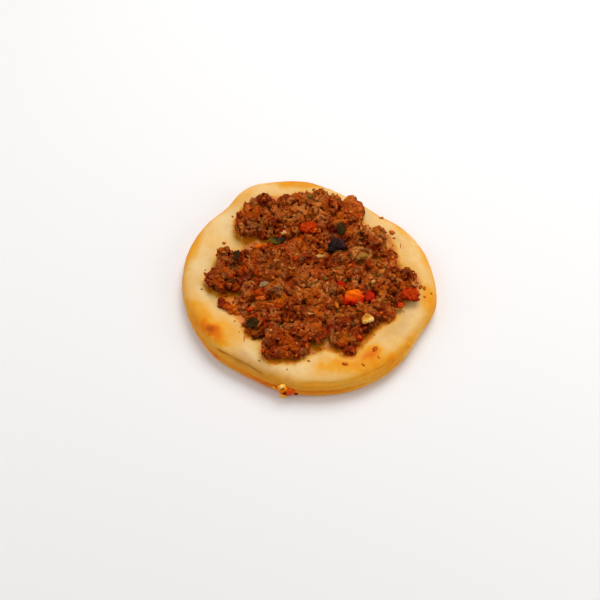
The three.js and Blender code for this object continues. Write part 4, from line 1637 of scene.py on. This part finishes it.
    def _take_form(self) -> None:
        """Fills the clay with the form of the heap's solid, read on a grid twice as coarse and smoothed."""
        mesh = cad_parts["minced_meat"].data
        corners = [vertex.co / MM for vertex in mesh.vertices]
        tree = BVHTree.FromPolygons(corners, [tuple(polygon.vertices) for polygon in mesh.polygons])
        end = self.clay.low + self.cell * (self.clay.counts + 1)
        coarse = Clay(self.clay.low, end, 2 * self.cell, self.blend)
        places = coarse.places().reshape(*coarse.counts, 3)
        down, up = Vector((0, 0, -1)), Vector((0, 0, 1))
        for i, j in itertools.product(range(coarse.counts[0]), range(coarse.counts[1])):
            x, y = places[i, j, 0, :2]
            top = tree.ray_cast(Vector((x, y, HIGH[2] + 1)), down)[0]
            bottom = tree.ray_cast(Vector((x, y, -1)), up)[0]
            for k, z in enumerate(places[i, j, :, 2]):
                away = tree.find_nearest(Vector((x, y, z)), coarse.FAR)[3]
                if away is not None:
                    within = top is not None and bottom is not None and bottom.z < z < top.z
                    coarse.distance[i, j, k] = -away if within else away
        grid = coarse.distance
        for axis in range(3):
            count = grid.shape[axis]
            middle = (grid.take(range(count - 1), axis) + grid.take(range(1, count), axis)) / 2
            shape = list(grid.shape)
            shape[axis] = 2 * count - 1
            finer = np.empty(shape)
            even, odd = [slice(None)] * 3, [slice(None)] * 3
            even[axis], odd[axis] = slice(0, None, 2), slice(1, None, 2)
            finer[tuple(even)], finer[tuple(odd)] = grid, middle
            grid = finer
        window = tuple(slice(0, count) for count in self.clay.counts)
        self.clay.distance = self.clay.blurred(grid[window], 2) + self.shrink

    def _mark(self) -> None:
        """Marks each place of the skin with its tone, with painted highlight where it stands out, with
        painted shade by how deep in a pit it lies, and with its sauce.
        """
        clay, marks, points = self.clay, self.skin.marks, self.skin.points
        # painted shade: pits, found from the blurred solid, are darkened
        solid = smooth_step(clay.distance, clay.cell, -clay.cell)
        fine = clay.sampled(clay.blurred(solid, 3), points)
        broad = clay.sampled(clay.blurred(solid, 14), points)
        pit_shading = self.narrow_pit_shade * smooth_step(fine, 0.5, 0.78)
        pit_shading += self.wide_pit_shade * smooth_step(broad, 0.5, 0.85)
        marks["shaded_pit"] = np.clip(pit_shading, 0, 1)
        noise = Noise(self.seed + 1)
        ragged = self.ragged.at(noise, points)
        tone = self.tones[clay.owners(points)] + self.tone_clouds.at(noise, points) + self.tone_lift
        # painted highlight: what stands out is paler
        tone += self.lit_crest_tone * smooth_step(fine, 0.45, 0.25)
        tone += patched(self.paler, points, ragged) - patched(self.darker, points, ragged)
        marks["tone"] = np.clip(tone, 0, 1)
        cloud = 0.5 + 0.5 * noise.layered(points + 40, 4, 3)
        sauce = self.sauce_share * smooth_step(cloud, 0.56, 0.9)
        marks["sauce"] = np.clip(sauce + patched(self.sauce, points, ragged) * (0.4 + 0.6 * cloud), 0, 1)


# ---- The pieces in the heap ----


def stand_in(shell: Shell, shade: Array, node: str, finish: Finish) -> bpy.types.Object:
    """Makes the piece that replaces a solid, over which it is moved until middles and tops agree.

    Args:
        shell: the piece's form.
        shade: how pale each place is, painted light and shade included.
        node: the solid's name.
        finish: what the piece is made of.

    Returns:
        The new object.
    """
    low, high = box_of(node)
    least, most = shell.points.min(axis=0), shell.points.max(axis=0)
    shift = (low + high) / 2 - (least + most) / 2
    shift[2] = high[2] - most[2]
    shell.points = shell.points + shift
    shell.marks["shade"] = np.clip(shade, 0, 1)
    return make_piece(shell, f"{node}_shown", finish, [node])


@dataclass(frozen=True)
class Garnish:
    """A diced or torn piece: the solid it stands for, its form, and where it is paler, partly as painted
    light and shade.
    """

    node: str
    finish: PieceFinish
    size: tuple[float, float, float]
    turn: float
    lean: float = 0
    boxiness: float = 2.6
    bend: float = 0.4
    wrinkles: tuple[float, float] = (1.7, 0.16)  # their width and height
    dish: float = 0  # how deep the top is hollowed
    base: float = 0.4  # its shade where nothing else changes it
    light: tuple[float, float, float] = (0, 0, 0.25)  # which way its paler side faces: painted light on the top and lit side of most pieces, their own two colours on some
    rim: float = 0  # how much paler its upper edge is, as a painted highlight; where below 0, as on the tomato, painted shade
    detail: int = 5
    bare: float = 0.8  # share of its half size that no grain covers
    cut: float = 0.76  # share of its width that is cut out of the mince
    dig: float = 0.5  # share of its height that is cut out of the mince
    DISH_WIDTH = 0.3  # the hollow's half width, squared, in half extents
    RIM_AT, RIM_WIDTH = 0.82, 0.03  # how far out the pale edge lies, and its half width, squared

    def cutter(self) -> Lumps:
        """The room that the piece takes in the mince."""
        low, high = box_of(self.node)
        radii = np.array([self.size]) / 2 * (self.cut, self.cut, self.dig)
        middle = (low + high) / 2
        middle[2] = high[2]
        return Lumps(middle[None], radii, turns([self.turn]))

    def make(self) -> bpy.types.Object:
        """Builds the piece."""
        unit = ball(self.detail).points
        form = unit / (np.abs(unit) ** self.boxiness).sum(axis=1, keepdims=True) ** (1 / self.boxiness)
        out = np.hypot(form[:, 0], form[:, 1])
        points = form * np.array(self.size) / 2
        points[:, 1] += self.bend * (1 - 2 * form[:, 0] ** 2)
        points[:, 2] -= self.dish * np.exp(-(out**2) / self.DISH_WIDTH) * (form[:, 2] > 0)
        points = turned(self._leant(points), self.turn)
        facing = turned(self._leant(form), self.turn)
        noise = Noise(len(self.node) + round(self.turn) % 360)
        width, height = self.wrinkles
        bumps = noise.layered(points, width, layers=4, gain=0.6)
        shell = Shell(points, ball(self.detail).faces).pushed(height * bumps)
        edge = np.exp(-((out - self.RIM_AT) ** 2) / self.RIM_WIDTH) * (form[:, 2] > -0.3)
        # painted light and shade: the side that `light` names and the bumps that stand out are paler, and the
        # upper edge by `rim`
        shade = self.base + facing @ np.array(self.light) + self.rim * edge + 0.1 * bumps
        return stand_in(shell, shade, self.node, self.finish)

    def _leant(self, points: Array) -> Array:
        """Points tipped about X, the far side up."""
        cosine, sine = math.cos(math.radians(self.lean)), math.sin(math.radians(self.lean))
        return points @ np.array([[1, 0, 0], [0, cosine, -sine], [0, sine, cosine]]).T


@dataclass(frozen=True)
class Leaf:
    """A torn leaf that lies on the heap: a thin wavy sheet with toothed edges."""

    node: str
    size: tuple[float, float]
    turn: float
    curl: float
    ripple: float
    finish: PieceFinish
    thickness: float = 0.5
    cells: tuple[int, int] = (40, 28)
    waves: tuple[float, float] = (3.2, 2.1)  # how many radians the ripple turns along and across
    tip: tuple[float, float] = (0.25, 0.96)  # width left at the tips, and how round the sides are
    teeth: tuple[float, float, float] = (0.1, 17, 7)  # how deep, and how many radians of each wave of them
    crinkles: Relief = Relief(1.3, 0.14, layers=2)
    vein_width: float = 0.012  # its half width, squared
    vein_depth: float = 0.08

    def make(self) -> bpy.types.Object:
        """Builds the leaf."""
        along, across = self.cells
        u, v = np.meshgrid(np.linspace(-1, 1, along + 1), np.linspace(-1, 1, across + 1), indexing="ij")
        share, fullness = self.tip
        outline = share + (1 - share) * np.sqrt(1 - fullness * u**2)
        depth, fine, coarse = self.teeth
        teeth = 1 + depth * (np.sin(fine * u) + np.sin(coarse * u + self.turn)) * np.abs(v) ** 2
        x, y = u * self.size[0] / 2, v * outline * teeth * self.size[1] / 2
        flat = np.stack([x, y, np.zeros_like(u)], axis=-1).reshape(-1, 3)
        crinkle = self.crinkles.at(Noise(round(self.turn)), flat).reshape(u.shape)
        vein = np.exp(-((v * outline) ** 2) / self.vein_width)
        wave = self.ripple * np.sin(self.waves[0] * u + self.waves[1] * v) - self.curl * u**2 + crinkle
        half = self.thickness / 2 * (0.3 + 0.7 * (1 - np.maximum(np.abs(u), np.abs(v)) ** 4))
        sheets = [np.stack([x, y, z], axis=-1) for z in (wave - half, wave + half - self.vein_depth * vein)]
        points = turned(np.concatenate(sheets).reshape(-1, 3), self.turn)
        count = (along + 1) * (across + 1)
        i, j = np.meshgrid(np.arange(along), np.arange(across), indexing="ij")
        first = (i * (across + 1) + j).reshape(-1)
        quads = np.stack([first, first + across + 1, first + across + 2, first + 1], axis=1)
        loop = np.concatenate([
            np.arange(along) * (across + 1), along * (across + 1) + np.arange(across),
            (along - np.arange(along)) * (across + 1) + across, across - np.arange(across),
        ])
        after = np.roll(loop, -1)
        walls = np.stack([loop, after, after + count, loop + count], axis=1)
        shell = Shell(points, np.concatenate([quads[:, ::-1], quads + count, walls]))
        # painted light: raised crinkles are paler; the paler vein is the leaf's own colour
        shade = 0.4 + 0.25 * vein + 1.1 * crinkle
        return stand_in(shell, np.tile(shade.reshape(-1), 2), self.node, self.finish)


@dataclass(frozen=True)
class Knob:
    """One lump of a crumb: middle, half extents, turn about Z, and how pale it is."""

    at: tuple[float, float, float]
    half: tuple[float, float, float]
    turn: float = 0
    shade: float = 0.5


class Bed(Enum):
    """What a crumb lies on, which cuts off what is lower."""

    HEAP = "heap"  # nothing is cut off
    DOUGH = "dough"
    FLOOR = "floor"


@dataclass(frozen=True)
class Crumb:
    """A crumb or chip of browned mince: a few lumps grown together under a crust of grains."""

    name: str
    finish: PieceFinish
    knobs: tuple[Knob, ...]
    node: str  # the solid that it stands for, or empty
    grain: tuple[float, float]  # least and most half width of its grains
    spacing: float
    cell: float = 0.26
    blend: float = 0.5
    bed: Bed = Bed.FLOOR
    boxiness: tuple[float, ...] = (2.0, 2.4)
    grit: tuple[Relief, ...] = ()
    spread: float = 0.14  # how much the shade varies from grain to grain
    shaded_side: tuple[float, float, float] = (0.0, 0.0, 0.0)  # which way its side with painted shade faces
    seed: int = 3
    bare: float = 0.85  # share of its half size that no grain covers
    CUT = 0.92  # share of its lumps' size that is cut out of the mince
    LEAST_CUT = 1.8  # lumps with less half width than this cut no room
    BITE = 0.1  # how far it sinks into the dough
    MARGIN = 2  # how far the grid reaches past its lumps
    PIT_SHADE, CHAR_SHADE = 0.4, 0.5  # painted shade: how dark its pits and its shaded side are

    def cutter(self) -> Lumps:
        """The room that the crumb takes in the mince."""
        lumps = self._lumps([knob for knob in self.knobs if min(knob.half) > self.LEAST_CUT])
        return Lumps(lumps.middles, lumps.radii * self.CUT, lumps.axes)

    def make(self, dough: Dough) -> bpy.types.Object:
        """Builds the crumb.

        Args:
            dough: what it lies on.

        Returns:
            The piece.
        """
        rng = np.random.default_rng(self.seed)
        lumps = self._lumps(self.knobs)
        reach = lumps.radii.max() + self.MARGIN
        low, high = lumps.middles.min(axis=0) - reach, lumps.middles.max(axis=0) + reach
        clay = Clay(low, high, self.cell, self.blend, self.boxiness)
        clay.add(lumps)
        shades = np.array([0.5, *(knob.shade for knob in self.knobs)])
        skin = clay.shell()
        chosen = thinned(skin.points, self.spacing, rng)
        size = rng.uniform(*self.grain, len(chosen))
        grains = Lumps.on_surface(
            skin.points[chosen], skin.normals()[chosen], size, (0.8, 1.8), (0.6, 1.0), 0.4, rng,
        )
        under = shades[clay.owners(skin.points[chosen])]
        clay.add(grains, len(shades))
        shades = np.concatenate([shades, under + rng.normal(0, self.spread, len(chosen))])
        clay.rough(Noise(self.seed), self.grit, 1.0)
        if self.bed is not Bed.HEAP:
            clay.distance = np.maximum(clay.distance, self._sunk(clay, dough))
        shell = clay.shell()
        # painted shade: darker in the pits and on the shaded side
        solid = clay.blurred(smooth_step(clay.distance, clay.cell, -clay.cell), 4)
        shaded_pit = smooth_step(clay.sampled(solid, shell.points), 0.5, 0.8)
        side_shade = smooth_step(shell.normals() @ np.array(self.shaded_side), 0.3, 0.8)
        shade = shades[clay.owners(shell.points)] - self.PIT_SHADE * shaded_pit - self.CHAR_SHADE * side_shade
        shell.marks["shade"] = np.clip(shade, 0, 1)
        return make_piece(shell, self.name, self.finish, [self.node] if self.node else [])

    def _lumps(self, knobs: Sequence[Knob]) -> Lumps:
        """Knobs as lumps."""
        halves = np.array([knob.half for knob in knobs], float)
        return Lumps(np.array([knob.at for knob in knobs], float), halves, turns(knob.turn for knob in knobs))

    def _sunk(self, clay: Clay, dough: Dough) -> Array:
        """How far below the bed each point of the grid lies."""
        places = clay.places()
        level = dough.height(places) - self.BITE if self.bed is Bed.DOUGH else 0
        return (level - places[:, 2]).reshape(clay.distance.shape)


# ---- Small things scattered over the heap and the dough ----


@dataclass(frozen=True)
class Spot:
    """A small thing in a known place: where it lies, and its half length, half width and turn."""

    at: tuple[float, float]
    half: tuple[float, float]
    turn: float = 0


@dataclass(frozen=True)
class Scatter:
    """Many small things of one kind, all in one piece."""

    name: str
    finish: Finish
    radius: tuple[float, float]
    spacing: float
    share: float = 1  # how many of the places are taken
    stretch: tuple[float, float] = (0.9, 1.6)
    flatness: tuple[float, float] = (0.6, 0.9)
    sink: float = 0.2
    knobs: tuple[float, float] = (0.3, 0.9)  # how far the skins stray and how wide the bumps are, in radii
    spots: tuple[Spot, ...] = ()
    detail: int = 2
    seed: int = 1
    edge_share: float | None = None  # how many are taken along the foot of the heap, where that differs
    FOOT = 2.6  # height of the foot of the heap above the dough
    FOOT_TONE = 0.16  # how much darker grains of mince are there
    SKEW = 1.6  # how much more of them are small
    MARGIN = 4  # how far they keep inside the outline of the dough
    LEAST_UP = -0.1  # they lie where the outward direction points up more than this
    SPOT_SINK = 0.3  # how deep the middle of a thing in a known place lies, as a share of its half height
    LOW, TALL = 0.5, 0.7  # half height of such a thing on the dough and on the heap, in half widths

    def over_heap(self, heap: MinceHeap, keep_off: Sequence[Garnish | Crumb]) -> bpy.types.Object:
        """Scatters them over the heap.

        Args:
            heap: the heap.
            keep_off: pieces that stay bare.

        Returns:
            The piece.
        """
        rng = np.random.default_rng(self.seed)
        skin = heap.skin
        normals = skin.normals()
        chosen = np.nonzero(normals[:, 2] > self.LEAST_UP)[0]
        chosen = chosen[thinned(skin.points[chosen], self.spacing, rng)]
        low_down = heap.lift[chosen] < self.FOOT
        share = np.where(low_down, self.share if self.edge_share is None else self.edge_share, self.share)
        chosen = chosen[rng.random(len(chosen)) < share]
        points = skin.points[chosen]
        for piece in keep_off:
            low, high = (corner[:2] for corner in box_of(piece.node))
            away = np.linalg.norm((points[:, :2] - (low + high) / 2) / ((high - low) / 2), axis=1)
            chosen, points = chosen[away > piece.bare], points[away > piece.bare]
        least, most = self.radius
        size = least + (most - least) * rng.random(len(chosen)) ** self.SKEW
        lumps = Lumps.on_surface(points, normals[chosen], size, self.stretch, self.flatness, self.sink, rng)
        # painted light and shade: each thing's top is paler and its underside darker
        shell = lumps.shells(self.detail, *self.knobs, Noise(self.seed))
        if isinstance(self.finish, MinceFinish):
            corners = len(ball(self.detail).points)
            foot = self.FOOT_TONE * (heap.lift[chosen] < self.FOOT)
            tone = skin.marks["tone"][chosen] - foot + rng.normal(0.04, 0.1, len(chosen))
            shell.marks["tone"] = np.clip(np.repeat(tone, corners), 0, 1)
            shell.marks["sauce"] = np.repeat(skin.marks["sauce"][chosen], corners)
            # painted shade: the underside of each grain is darker
            shell.marks["shaded_pit"] = np.clip(0.5 - shell.marks.pop("shade"), 0, 0.5)
        if self.spots:
            shell = Shell.joined([shell, self._spotted(heap, shell)])
        return make_piece(shell, self.name, self.finish)

    def over_dough(self, dough: Dough, footprint: Nearness, near: tuple[float, float]) -> bpy.types.Object:
        """Scatters them over the bare dough near the heap.

        Args:
            dough: the dough.
            footprint: says how near the heap each place is.
            near: least and most nearness of a place that is taken.

        Returns:
            The piece.
        """
        rng = np.random.default_rng(self.seed)
        side = 2 * HIGH[0]
        count = int((side / self.spacing) ** 2)
        flat = rng.uniform(-side / 2, side / 2, (count, 2))
        closeness = footprint(np.column_stack([flat, np.zeros(count)]))
        inside = dough.polar(flat)[1] > self.MARGIN
        chance = rng.random(count) < self.share * smooth_step(closeness, *near)
        flat = flat[inside & chance & (closeness < near[1])]
        flat = np.concatenate([flat, [spot.at for spot in self.spots]])
        ground = np.column_stack([flat, dough.height(flat)])
        size = rng.uniform(*self.radius, len(flat))
        lumps = Lumps.on_surface(
            ground, np.tile([0.0, 0, 1], (len(flat), 1)), size, self.stretch, self.flatness, self.sink, rng,
        )
        for number, spot in enumerate(self.spots, len(flat) - len(self.spots)):
            lumps.radii[number] = (*spot.half, self.LOW * min(spot.half))
            lumps.axes[number] = turned(np.eye(3), spot.turn)
        # painted light and shade: each crumb's top is paler and its underside darker
        return make_piece(lumps.shells(self.detail, *self.knobs, Noise(self.seed)), self.name, self.finish)

    def _spotted(self, heap: MinceHeap, like: Shell) -> Shell:
        """The small things in known places.

        Args:
            heap: what they lie on.
            like: a mesh whose marks they get too.

        Returns:
            Their mesh.
        """
        flat = np.array([spot.at for spot in self.spots])
        ground = np.column_stack([flat, heap.top(flat)])
        halves = np.array([(*spot.half, self.TALL * min(spot.half)) for spot in self.spots])
        ground[:, 2] -= self.SPOT_SINK * halves[:, 2]
        lumps = Lumps(ground, halves, turns(spot.turn for spot in self.spots))
        # painted light and shade: each thing's top is paler and its underside darker
        shell = lumps.shells(self.detail + 1, *self.knobs, Noise(self.seed + 1))
        shell.marks = {name: shell.marks.get(name, np.zeros(len(shell.points))) for name in like.marks}
        return shell


# ---- The camera, the lights and the floor ----


@dataclass(frozen=True)
class Lamp:
    """A square soft light that faces the dough."""

    name: str
    at: tuple[float, float, float]
    width: float
    power: float
    colour: Srgb = (255, 254, 253)


@dataclass
class Studio:
    """A pale floor, soft lights, and the camera at the viewing angle."""

    eye: tuple[float, float, float] = (-3.8, -181.9, 282.1)
    aim: tuple[float, float, float] = (-3.8, -11.4, 6.0)
    focal_pixels: float = 760
    picture_width: float = 600
    sensor: float = 36
    nearest: float = 5
    farthest: float = 10000
    floor_half: float = 2000
    floor_colour: Srgb = (243, 242, 242)
    floor_roughness: float = 0.9
    lamps: tuple[Lamp, ...] = (
        Lamp("key_light", (140, 400, 640), 460, 3.9, (255, 253, 251)),
        Lamp("fill_light", (-460, -60, 400), 480, 0.8),
        Lamp("right_light", (480, -150, 280), 320, 0.7),
    )
    sky: float = 0.36

    def build(self) -> None:
        """Sets the whole studio up."""
        self._camera()
        self._floor()
        for lamp in self.lamps:
            self._light(lamp)
        self._sky()
        bpy.context.scene.view_settings.view_transform = "Standard"

    @staticmethod
    def _aim(thing: bpy.types.Object, at: Sequence[float], aim: Sequence[float]) -> None:
        """Puts a camera or a light in its place and turns it to a point."""
        thing.location = Vector(at) * MM
        thing.rotation_euler = (Vector(aim) - Vector(at)).to_track_quat("-Z", "Y").to_euler()

    def _camera(self) -> None:
        """The camera."""
        data = bpy.data.cameras.new("viewpoint")
        data.sensor_width = self.sensor
        data.lens = self.sensor * self.focal_pixels / self.picture_width
        data.clip_start, data.clip_end = self.nearest * MM, self.farthest * MM
        camera = linked("viewpoint", data)
        self._aim(camera, self.eye, self.aim)
        bpy.context.scene.camera = camera

    def _floor(self) -> None:
        """The floor."""
        half = self.floor_half * MM
        mesh = bpy.data.meshes.new("floor")
        corners = [(-half, -half, 0), (half, -half, 0), (half, half, 0), (-half, half, 0)]
        mesh.from_pydata(corners, [], [(0, 1, 2, 3)])
        floor = linked("floor", mesh)
        paint = Paint("pale_floor")
        sockets = {"Base Color": linear(self.floor_colour), "Roughness": self.floor_roughness}
        paint.feed(paint.surface, sockets)
        mesh.materials.append(paint.material)

    def _light(self, lamp: Lamp) -> None:
        """One of the lights."""
        data = bpy.data.lights.new(lamp.name, "AREA")
        data.size = lamp.width * MM
        data.energy = lamp.power
        data.color = linear(lamp.colour)[:3]
        self._aim(linked(lamp.name, data), lamp.at, (0, 0, 0))

    def _sky(self) -> None:
        """Even light from all round."""
        world = bpy.data.worlds.new("soft_sky")
        world.use_nodes = True
        back = world.node_tree.nodes["Background"]
        back.inputs["Color"].default_value = (1, 1, 1, 1)
        back.inputs["Strength"].default_value = self.sky
        bpy.context.scene.world = world


GARNISHES = (
    Garnish("tomato_piece", TOMATO, (9.2, 7.0, 4.6), -6, 8, 3.0, 0.5, (3.0, 0.7), 0, 0.44,
            (-0.05, 0.34, 0.18), -0.16, 6, 0.75),
    Garnish("red_pepper_piece_1", RED_PEPPER, (4.8, 4.8, 3), 6, 0, 2.6, 0.3, (1.8, 0.4), base=0.5, bare=0.7),
    Garnish("red_pepper_piece_2", RED_PEPPER, (4.2, 3.2, 2.6), -30, 0, 2.6, 0.4, (1.8, 0.4), base=0.45,
            bare=0.6),
    Garnish("olive_piece", OLIVE, (8.0, 6.2, 4.2), 18, 6, 2.2, 0.9, (2.2, 0.6), 0.5, 0.33,
            (0.22, 0.2, 0.1), 0.1, 6, 0.6, 0.7),
    Garnish("garlic_piece", GARLIC, (5.2, 3.6, 3.0), 20, 0, 2.2, 0.7, (2.0, 0.4), 0.8, 0.56,
            (0.2, -0.2, 0.05), 0.2),
    Garnish("green_pepper_piece_1", GREEN_PEPPER, (6.8, 3.8, 2.8), 14, 0, 2.8, 0.7, (1.9, 0.4), base=0.6,
            light=(0, 0.3, 0.1), bare=0.9, cut=0.86, dig=2.4),
    Garnish("green_pepper_piece_2", DARK_PEPPER, (7, 3.4, 2.6), 4, 0, 2.6, -0.5, (1.9, 0.4), base=0.5,
            light=(-0.35, -0.3, 0)),
    Garnish("onion_piece_1", ONION, (4.8, 3.0, 2), 25, 0, 2.6, 0.5, (1.4, 0.6), 0.2, 0.5, rim=0.1,
            bare=0.2, cut=0.5),
    Garnish("onion_piece_2", ONION, (6, 3.0, 2.2), -28, 0, 2.6, 0.8, (1.5, 0.6), 0.8, 0.35,
            (0.1, 0.2, 0), 0.3, bare=0.2, cut=0.5),
    Garnish("tomato_pulp_1", TOMATO_PULP, (7.6, 5.2, 3), -10, 0, 2.3, 0.3, (1.6, 0.9), 0, 0.4,
            bare=0.2, cut=0.3),
    Garnish("tomato_pulp_2", TOMATO_PULP, (8, 5.6, 3), 10, 0, 2.3, 0.3, (1.6, 0.9), 0, 0.45,
            bare=0.2, cut=0.3),
    Garnish("carrot_sliver", CARROT, (5.2, 2, 1.8), 84, 0, 3, 0.3, (1.4, 0.2), base=0.5, bare=0.5),
)
LEAVES = (
    Leaf("herb_leaf_1", (5.4, 3), 80, 0.7, 0.4, HERB),
    Leaf("herb_leaf_2", (5.8, 4.4), 25, 0.8, 0.4, HERB),
    Leaf("herb_leaf_3", (6, 4), 100, 0.8, 0.5, HERB),
)
CRUMBS = (
    Crumb("mince_chip", CRUST, table(
        Knob, 3,
        (19.8, 32.0, 11.6, 4.9, 3.6, 3.2, -8, 0.5), (19.3, 34.4, 13.3, 3.5, 2.6, 2.9, -16, 0.56),
        (19.1, 35.9, 15.1, 1.7, 1.4, 2.3, 0, 0.6), (22.8, 32.4, 12.4, 2.0, 2.6, 2.9, 14, 0.5),
        (21.4, 30.2, 12.4, 3.0, 1.5, 1.6, 8, 0.98), (16.2, 31.8, 11.2, 1.5, 2.2, 2.2, 0, 0.5),
        # painted shade: the knob whose shade is -0.3 is a dark lump that stands for the shade in a hole
        (16.6, 29.8, 12.2, 1.1, 0.9, 1.2, 0, -0.3), (21.0, 33.2, 15.0, 0.7, 0.7, 0.6, 0, 0.0),
    ), "crusty_mince_chip", (0.25, 0.5), 1.7, 0.26, 1.1, Bed.HEAP, seed=8, shaded_side=(0.9, 0.5, 0.1),
        grit=(Relief(3.0, 0.4), Relief(1.3, 0.3, Form.RIDGED))),
    Crumb("stray_crumb", DARK_CRUMB, table(
        Knob, 3,
        (-36.6, -15.4, 11.2, 1.8, 1.4, 2.0, -30, 0.25), (-36.4, -16.9, 10.6, 1.6, 1.3, 1.5, 0, 0.3),
        (-34.7, -17.8, 10.7, 1.6, 1.2, 1.5, -30, 0.45), (-34.6, -16.4, 10.3, 1.5, 1.2, 1.2, -30, 0.35),
        (-32.9, -18.7, 10.7, 1.7, 1.3, 1.6, -35, 0.55), (-31.6, -18.0, 10.9, 1.3, 1.1, 1.7, 0, 0.65),
        (-31.2, -19.2, 10.4, 1.2, 1.1, 1.4, 0, 0.8), (-32.6, -19.9, 10.3, 1.1, 0.8, 1.2, 0, 0.75),
    ), "stray_meat_crumb", (0.25, 0.5), 1.2, bed=Bed.DOUGH, seed=4,
        grit=(Relief(1.6, 0.3, Form.PUFFY), Relief(0.8, 0.14))),
    Crumb("foot_crumb", AMBER_CRUMB, table(
        Knob, 3,
        (-10.7, -52.2, 7.0, 1.3, 0.8, 0.6, 10, 0.85), (-12.0, -52.6, 6.0, 0.7, 0.6, 1.4, 20, 0.65),
        (-9.6, -53.0, 6.0, 0.8, 0.6, 1.4, -20, 0.6), (-7.6, -53.3, 4.4, 1.8, 1.2, 2.0, 0, 0.3),
        (-8.8, -53.4, 3.2, 2.2, 1.1, 1.6, 0, 0.2), (-5.6, -53.7, 3.4, 1.1, 0.8, 0.7, 0, 0.0),
        (-10.4, -53.8, 1.6, 1.5, 0.9, 1.2, 0, 0.8), (-10.9, -53.0, 3.8, 1.4, 0.9, 1.6, 0, 0.5),
        # painted shade: the knob whose shade is -0.4 is a dark lump that stands for the shade in a hole
        (-9.9, -54.0, 3.9, 0.7, 0.5, 0.7, 0, -0.4), (-13.9, -52.1, 5.0, 0.9, 0.5, 0.5, -20, 0.6),
    ), "", (0.2, 0.4), 1.4, 0.22, 0.3, grit=(Relief(1.6, 0.24, Form.PUFFY), Relief(0.8, 0.12)), seed=6),
)
GRAINS = Scatter(
    "loose_mince_grains", MINCE, (0.3, 0.75), 1.8, 0.42, (0.9, 2.0), (0.6, 1.0), 0.5, (0.6, 0.8), seed=21,
    edge_share=0.7,
)
HERB_FLECKS = Scatter(
    "herb_flecks", GREEN_FLECK, (0.3, 0.6), 5.6, 0.35, (1.0, 2.4), (0.3, 0.5), 0.1, (0.4, 0.9),
    table(
        Spot, 2,
        (6.7, -22.2, 1.6, 1.1, 20), (15.5, -4.6, 1.2, 0.8, 40), (7, -4.4, 1.2, 0.7, 0),
        (0.7, 38.6, 1.6, 0.8, 10), (27, -7.8, 1.2, 0.8, 60), (28, 17.5, 0.9, 0.6, 90),
    ),
    seed=22,
)
ONION_BITS = Scatter(
    "onion_bits", TAN_BIT, (0.3, 0.55), 6.4, 0.2, (1.2, 2.0), (0.4, 0.7), 0.5, (0.6, 0.8),
    table(
        Spot, 2,
        (27.2, -6.2, 1.3, 0.7, 50), (5.1, 7.7, 2.4, 1.0, 12), (-11.1, 19.7, 1.5, 0.9, 30),
        (-10.4, 24.5, 1.2, 0.7, -60), (-6.7, 1.6, 1.6, 0.5, 30), (0.5, -20.5, 1.8, 0.8, 0),
    ),
    seed=23,
)
PEPPER_BITS = Scatter(
    "red_pepper_bits", RED_PEPPER, (0.3, 0.6), 8.5, 0.25, (1.0, 2.0), (0.5, 0.8), 0.5, (0.6, 0.8),
    table(
        Spot, 2,
        (-24.6, -19.4, 1.6, 1.1, 0), (38, -17.6, 1.6, 1.2, 0), (20.5, -33.2, 1.4, 1.2, 0),
        (-5.6, 5.6, 1.3, 0.9, 20), (4.5, -13.2, 1.1, 0.8, 0),
    ), seed=24,
)
TOMATO_BITS = Scatter(
    "tomato_bits", TOMATO_PULP, (0.35, 0.8), 6.2, 0.3, (1.0, 2.0), (0.5, 0.8), 0.5, (0.6, 0.8),
    table(
        Spot, 2,
        (-26.6, 0.5, 1.8, 1.2, -50), (-22, 12.4, 3.0, 1.0, 8), (3.6, 21.6, 1.8, 1.3, 0),
        (-20.5, -12.5, 1.8, 1.2, 0), (14.2, 13.5, 1.2, 0.8, 0),
    ), seed=25,
)
CHARRED_BITS = Scatter(
    "charred_bits", HERB, (0.3, 0.6), 5.0, 0.35, (1.0, 2.0), (0.4, 0.8), 0.35, (0.4, 0.9), seed=26,
)
DOUGH_CRUMBS = Scatter(
    "crumbs_on_dough", SPECK, (0.2, 0.45), 1.7, 0.2, (1.0, 1.8), (0.4, 0.7), 0.1, (0.5, 0.9),
    table(
        Spot, 2,
        (-37.4, 16.2, 0.8, 0.6), (14.2, -44, 1.2, 0.7, -20), (26.5, -37.6, 1.3, 0.9, 60),
        (27.6, -40.8, 1.1, 0.3, -60), (21.4, -44.4, 0.9, 0.4, -30), (32.9, 30.2, 1.0, 0.6, 20),
        (37.2, 21.3, 1.4, 1.1, -20), (38.0, 18.3, 0.8, 0.6), (40.5, 14.2, 0.2, 1.5, -10),
        (51.9, -10.3, 0.55, 0.45), (48.7, -12.4, 0.6, 0.5), (47.4, -7.5, 1.1, 0.8, 60),
        (49.0, -8.0, 1.0, 0.6, 80), (46.4, -5.4, 0.9, 0.5, -40), (17.3, -37.2, 1.1, 0.6, 10),
        (-26.4, -27.6, 0.2, 1.2, 4), (-26.6, -32.4, 0.2, 1.5, -4), (-23.6, -32.6, 0.6, 0.25, 50),
        (41.3, 12.3, 0.2, 1.3, -12), (-36.6, -11.2, 2.4, 0.7, -6),
    ),
    seed=27,
)


def main() -> None:
    """Builds the studio, then every part of the lahmacun in order."""
    logging.basicConfig(level=logging.INFO, format="%(message)s")
    Studio().build()
    dough = Dough()
    heap = MinceHeap()
    inset = (*GARNISHES, *(crumb for crumb in CRUMBS if crumb.bed is Bed.HEAP))
    heap.build(dough, Lumps.joined([piece.cutter() for piece in inset]))
    heap.make()
    dough.make(heap.footprint)
    for piece in (*GARNISHES, *LEAVES):
        piece.make()
    for crumb in CRUMBS:
        crumb.make(dough)
    for scatter in (GRAINS, HERB_FLECKS, ONION_BITS, PEPPER_BITS, TOMATO_BITS, CHARRED_BITS):
        scatter.over_heap(heap, inset)
    DOUGH_CRUMBS.over_dough(dough, heap.footprint, (0.03, 0.3))


if __name__ == "__main__":
    main()
